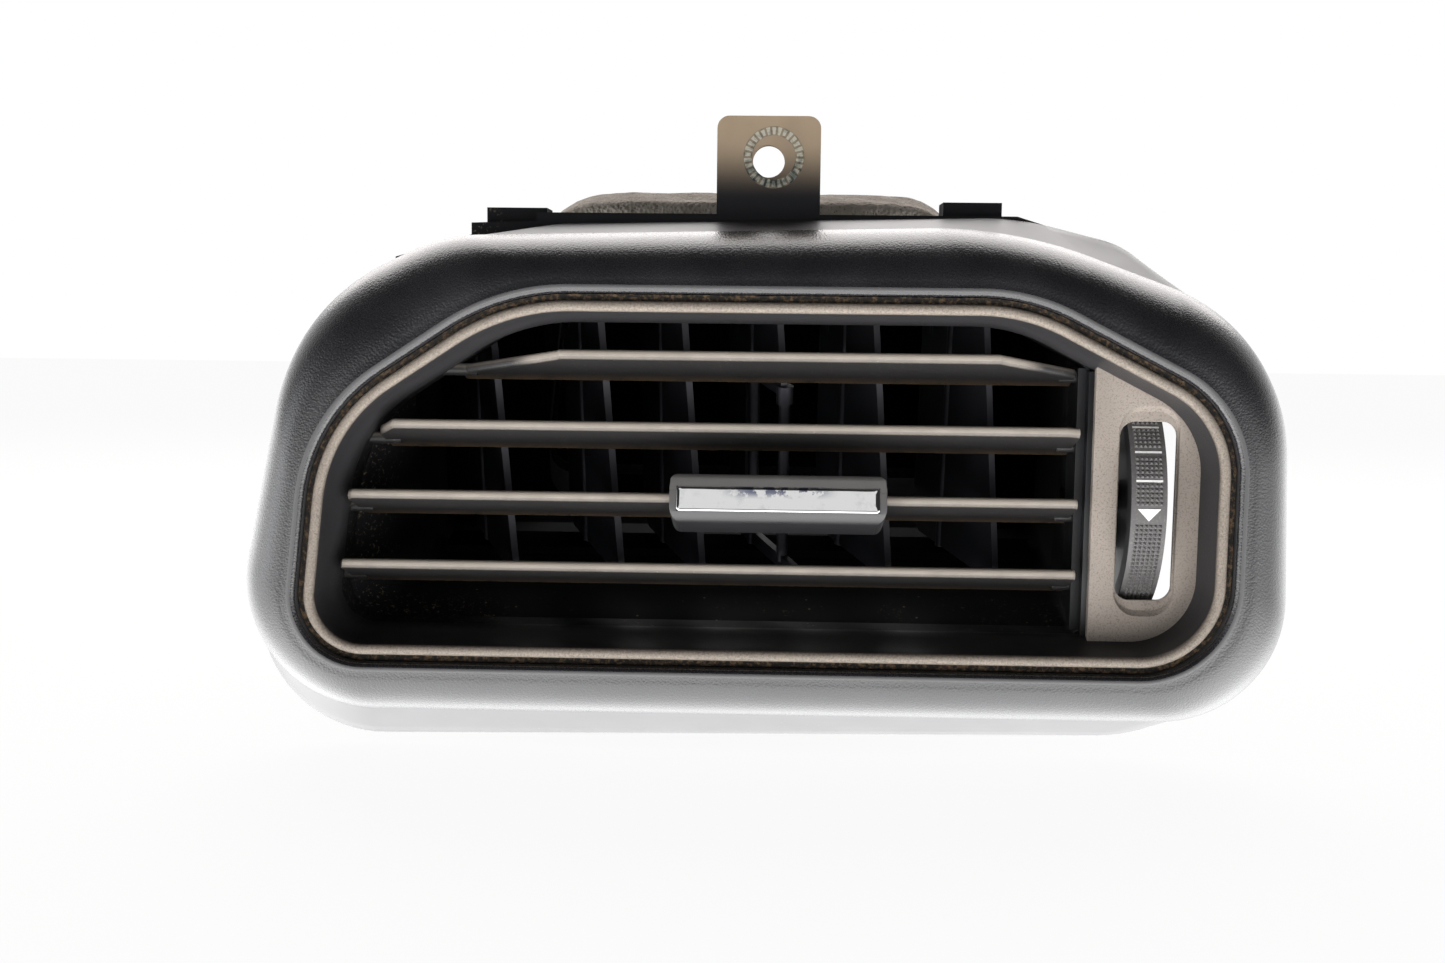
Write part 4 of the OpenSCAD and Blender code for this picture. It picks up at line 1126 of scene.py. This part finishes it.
def foam_copy(node, finish, round_mm, voxel_mm, depth_mm, sag_mm=0.0, spread=0.0):
    piece = merged_copy(node)
    soften(piece, round_mm, 4, 40)
    select_only(piece)
    piece.data.remesh_voxel_size = voxel_mm * MM
    bpy.ops.object.voxel_remesh()
    normals = [vertex.normal.copy() for vertex in piece.data.vertices]
    for vertex, normal in zip(piece.data.vertices, normals):
        wave = noise.noise(vertex.co / MM / 9.0) + 0.6 * noise.noise(vertex.co / MM / 2.6)
        vertex.co -= normal * (0.5 + 0.5 * wave) * depth_mm * MM
    box = [corner[0] / MM for corner in piece.bound_box]
    middle, half = (max(box) + min(box)) / 2, (max(box) - min(box)) / 2
    tallest = max(vertex.co.z for vertex in piece.data.vertices) / MM
    for vertex in piece.data.vertices:
        out = abs(vertex.co.x / MM - middle) / half
        upper = max(0.0, 1 - (tallest - vertex.co.z / MM) / 30)
        vertex.co.z -= sag_mm * max(0.0, (out - 0.35) / 0.65) ** 2 * upper * MM
        vertex.co.x += (vertex.co.x - middle * MM) * spread * (1 - 0.5 * out)
    smooth(piece, 60)
    paint(piece, finish)
    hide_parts(node)
    return piece


collar = foam_copy("foam_seal", FOAM, 2.4, 0.9, 0.6, 3.2, 0.13)
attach(collar, "base")
door_foam = foam_copy("damper_seal", DOOR_FOAM, 0.6, 0.6, 0.12)
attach(door_foam, "door")
print("foam faces:", len(collar.data.polygons), len(door_foam.data.polygons))

# %% [markdown]
# A screw with a toothed flange once sat on the tab and left its print: a ring of fine radial scratches. Each
# scratch is a copy of one thin tapered sliver, and no two neighbours are equally long.

# %% Print of the screw on the tab
PRINT_CENTRE = Vector((0.15, 0.0, 66.95))
PRINT_INNER = 4.65
PRINT_OUTER = 6.4
SCRATCHES = 30


def sliver():
    """A tapered scratch, 1 mm long."""
    piece = box_piece("scratch", (-0.43, -0.08, -0.5), (0.43, 0.08, 0.5))
    for vertex in piece.data.vertices:
        if vertex.co.z < 0:
            vertex.co.x *= 0.6
    return piece


def scratch_move(index):
    middle = (PRINT_INNER + PRINT_OUTER) / 2
    length = (PRINT_OUTER - PRINT_INNER) * (0.85 + 0.15 * math.sin(index * 2.4))
    turn = Matrix.Rotation(math.tau * index / SCRATCHES, 4, "Y")
    outward = Matrix.Translation((0, 0, middle * MM)) @ Matrix.Diagonal((1, 1, length, 1))
    return Matrix.Translation(PRINT_CENTRE * MM) @ turn @ outward


def circle_corners(radius):
    x, z = PRINT_CENTRE.x, PRINT_CENTRE.z
    return [(x + radius, z - radius, radius), (x + radius, z + radius, radius),
            (x - radius, z + radius, radius), (x - radius, z - radius, radius)]


outer_edge = circle_corners(PRINT_OUTER + 0.1)
inner_edge = circle_corners(PRINT_INNER - 0.05)
worn_ring = loft("worn_ring", [ring(outer_edge, -0.03), ring(outer_edge, 0.05), ring(inner_edge, 0.05),
                               ring(inner_edge, -0.03)])
paint(worn_ring, PRINT_GROUND)
smooth(worn_ring)
scratches = join("screw_scratches", copies(sliver(), [scratch_move(index) for index in range(SCRATCHES)]))
paint(scratches, PRINT)
for piece in (worn_ring, scratches):
    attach(piece, "base")
print("scratches:", SCRATCHES)

# %% [markdown]
# The pieces inside keep the CAD model's shape, because their plain plates and pins are right as they are. They
# only need their finishes: most by name, and the two sets of vanes by the start of their names. Nodes that a
# piece of this lesson replaces are left alone.

# %% CAD nodes keep their shape and get their finishes
FINISHES = {"vane_housing": HOUSING, "rear_duct": DUCT, "pivot_strip": BLACK, "vane_link": DEEP,
            "rear_vane_link": DEEP, "knob_fork": DEEP, "thumbwheel": BLACK, "wheel_axle": BLACK,
            "damper_door": DUCT, "damper_link": DUCT, "rear_rail_top": DUCT, "rear_rail_bottom": DUCT}
for name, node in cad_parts.items():
    finish = FINISHES.get(name)
    if name.startswith("vane_") and name not in ("vane_housing", "vane_link"):
        finish = VANE
    if name.startswith("rear_vane_") and name != "rear_vane_link":
        finish = UPRIGHT
    if finish is not None:
        node.data.materials.clear()
        node.data.materials.append(finish)
print("nodes:", len(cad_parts), "named finishes:", len(FINISHES))

# %% [markdown]
# The photograph is bright and soft. A large softbox behind and above stands for the window and draws the bright
# top edges, and a small one fills in from the left. The world further down does the rest.

# %% Lights
def area_light(name, place, aim, width, height, watts, tint=(1, 1, 1)):
    lamp = added(name, bpy.ops.object.light_add, type="AREA", location=place)
    lamp.data.shape = "RECTANGLE"
    lamp.data.size = width
    lamp.data.size_y = height
    lamp.data.energy = watts
    lamp.data.color = tint
    lamp.rotation_euler = (Vector(aim) - Vector(place)).to_track_quat("-Z", "Y").to_euler()
    return lamp


area_light("back_softbox", (0.0, 0.46, 0.52), (0, 0, 0), 1.3, 0.7, 8.3, (1.0, 0.955, 0.94))
area_light("left_softbox", (-0.72, -0.16, 0.05), (0, 0, 0), 0.4, 0.4, 0.7, (0.95, 0.97, 1.0))

# %% [markdown]
# A chrome bar shows nothing but what it mirrors. A small white card stands where the bar's flat front sends
# the camera's line of sight, as a photographer would place it. Light linking keeps its light on the knob, so
# the dark top of the bezel doesn't mirror it too.

# %% Card for the chrome
chrome_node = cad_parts["knob_chrome"]
CARD_DISTANCE = 0.32
CARD_DROP = 0.045
turned = chrome_node.matrix_world.to_3x3()
fronts = [face for face in chrome_node.data.polygons if (turned @ face.normal).y < -0.8]
front = max(fronts, key=lambda face: face.area)
chrome_normal = (turned @ front.normal).normalized()
chrome_centre = chrome_node.matrix_world @ front.center
to_camera = (camera.location - chrome_centre).normalized()
mirrored = 2 * chrome_normal.dot(to_camera) * chrome_normal - to_camera
card_place = chrome_centre + mirrored * CARD_DISTANCE - Vector((0, 0, CARD_DROP))
card = area_light("chrome_card", card_place, chrome_centre, 0.31, 0.33, 0.26)
knob_only = bpy.data.collections.new("knob_only")
for name in ("chrome_bar", "knob_upper_rounded", "knob_lower_rounded"):
    knob_only.objects.link(bpy.data.objects[name])
card.light_linking.receiver_collection = knob_only
print("chrome faces", [round(v, 2) for v in chrome_normal], "card at", [round(v, 3) for v in card_place])

# %% [markdown]
# The floor is a big pale sheet just under the lowest edge. To the camera it is mostly plain white with some of
# its own shading mixed in, so it stays white and still shows the object's soft shadow. It hides from all other
# rays, because the world below it already stands for the bright table.

# %% Floor
FLOOR_Z = -62.2
FLOOR_GLOW = 0.94
floor = added("floor", bpy.ops.mesh.primitive_plane_add, size=6.0, location=(0, 0, FLOOR_Z * MM))
floor_finish = Finish("floor_white", Base_Color=rgb(238, 238, 238), Roughness=0.9)
glow = floor_finish.tree.nodes.new("ShaderNodeEmission")
blend = floor_finish.tree.nodes.new("ShaderNodeMixShader")
blend.inputs[0].default_value = FLOOR_GLOW
floor_finish.tree.links.new(floor_finish.shader.outputs[0], blend.inputs[1])
floor_finish.tree.links.new(glow.outputs[0], blend.inputs[2])
floor_finish.tree.links.new(blend.outputs[0], floor_finish.tree.nodes["Material Output"].inputs["Surface"])
floor.visible_diffuse = False
floor.visible_glossy = False
floor.visible_transmission = False
floor.visible_shadow = False
paint(floor, floor_finish.material)

# %% [markdown]
# The room is a light tent. The vent lies on a bright table, the window is behind it, and the room in front of
# it and above it is dark where the photographer stands. The world is white to the camera's eye, and for all
# other rays its strength depends on the direction that the ray takes.

# %% World
DARK_STRENGTH = 0.03
BACK_STRENGTH = 0.95
TABLE_STRENGTH = 3.7
LEFT_STRENGTH = 2.2
RIGHT_STRENGTH = 1.6
world = bpy.data.worlds.new("light_tent")
bpy.context.scene.world = world
world.use_nodes = True
tree = world.node_tree
sky = tree.nodes["Background"]
direction = Link(tree, tree.nodes.new("ShaderNodeTexCoord").outputs["Generated"])
parts = tree.nodes.new("ShaderNodeSeparateXYZ")
tree.links.new(direction.socket, parts.inputs[0])
across, along, up = [Link(tree, parts.outputs[axis]) for axis in ("X", "Y", "Z")]
behind = along.fade(-0.05, 0.7) * up.fade(-0.4, -0.05) * BACK_STRENGTH
downward = 0.0 - up - along.fade(0.3, 0.9) * 0.06 + (-along).fade(0.1, 0.6) * 0.12
table = downward.fade(0.12, 0.75) * TABLE_STRENGTH
low = 1.0 - up.fade(-0.08, 0.25)
left = (-across).fade(0.2, 0.7) * low * LEFT_STRENGTH
right = across.fade(0.2, 0.7) * low * RIGHT_STRENGTH
tent = behind + table + left + right + DARK_STRENGTH
rays = tree.nodes.new("ShaderNodeLightPath")
seen = Link(tree, rays.outputs["Is Camera Ray"]).most(Link(tree, rays.outputs["Is Transmission Ray"]))
strength = tent * (1.0 - seen) + seen
tree.links.new(strength.socket, sky.inputs["Strength"])
sky.inputs["Color"].default_value = (1, 1, 1, 1)
bpy.context.scene.view_settings.view_transform = "Standard"
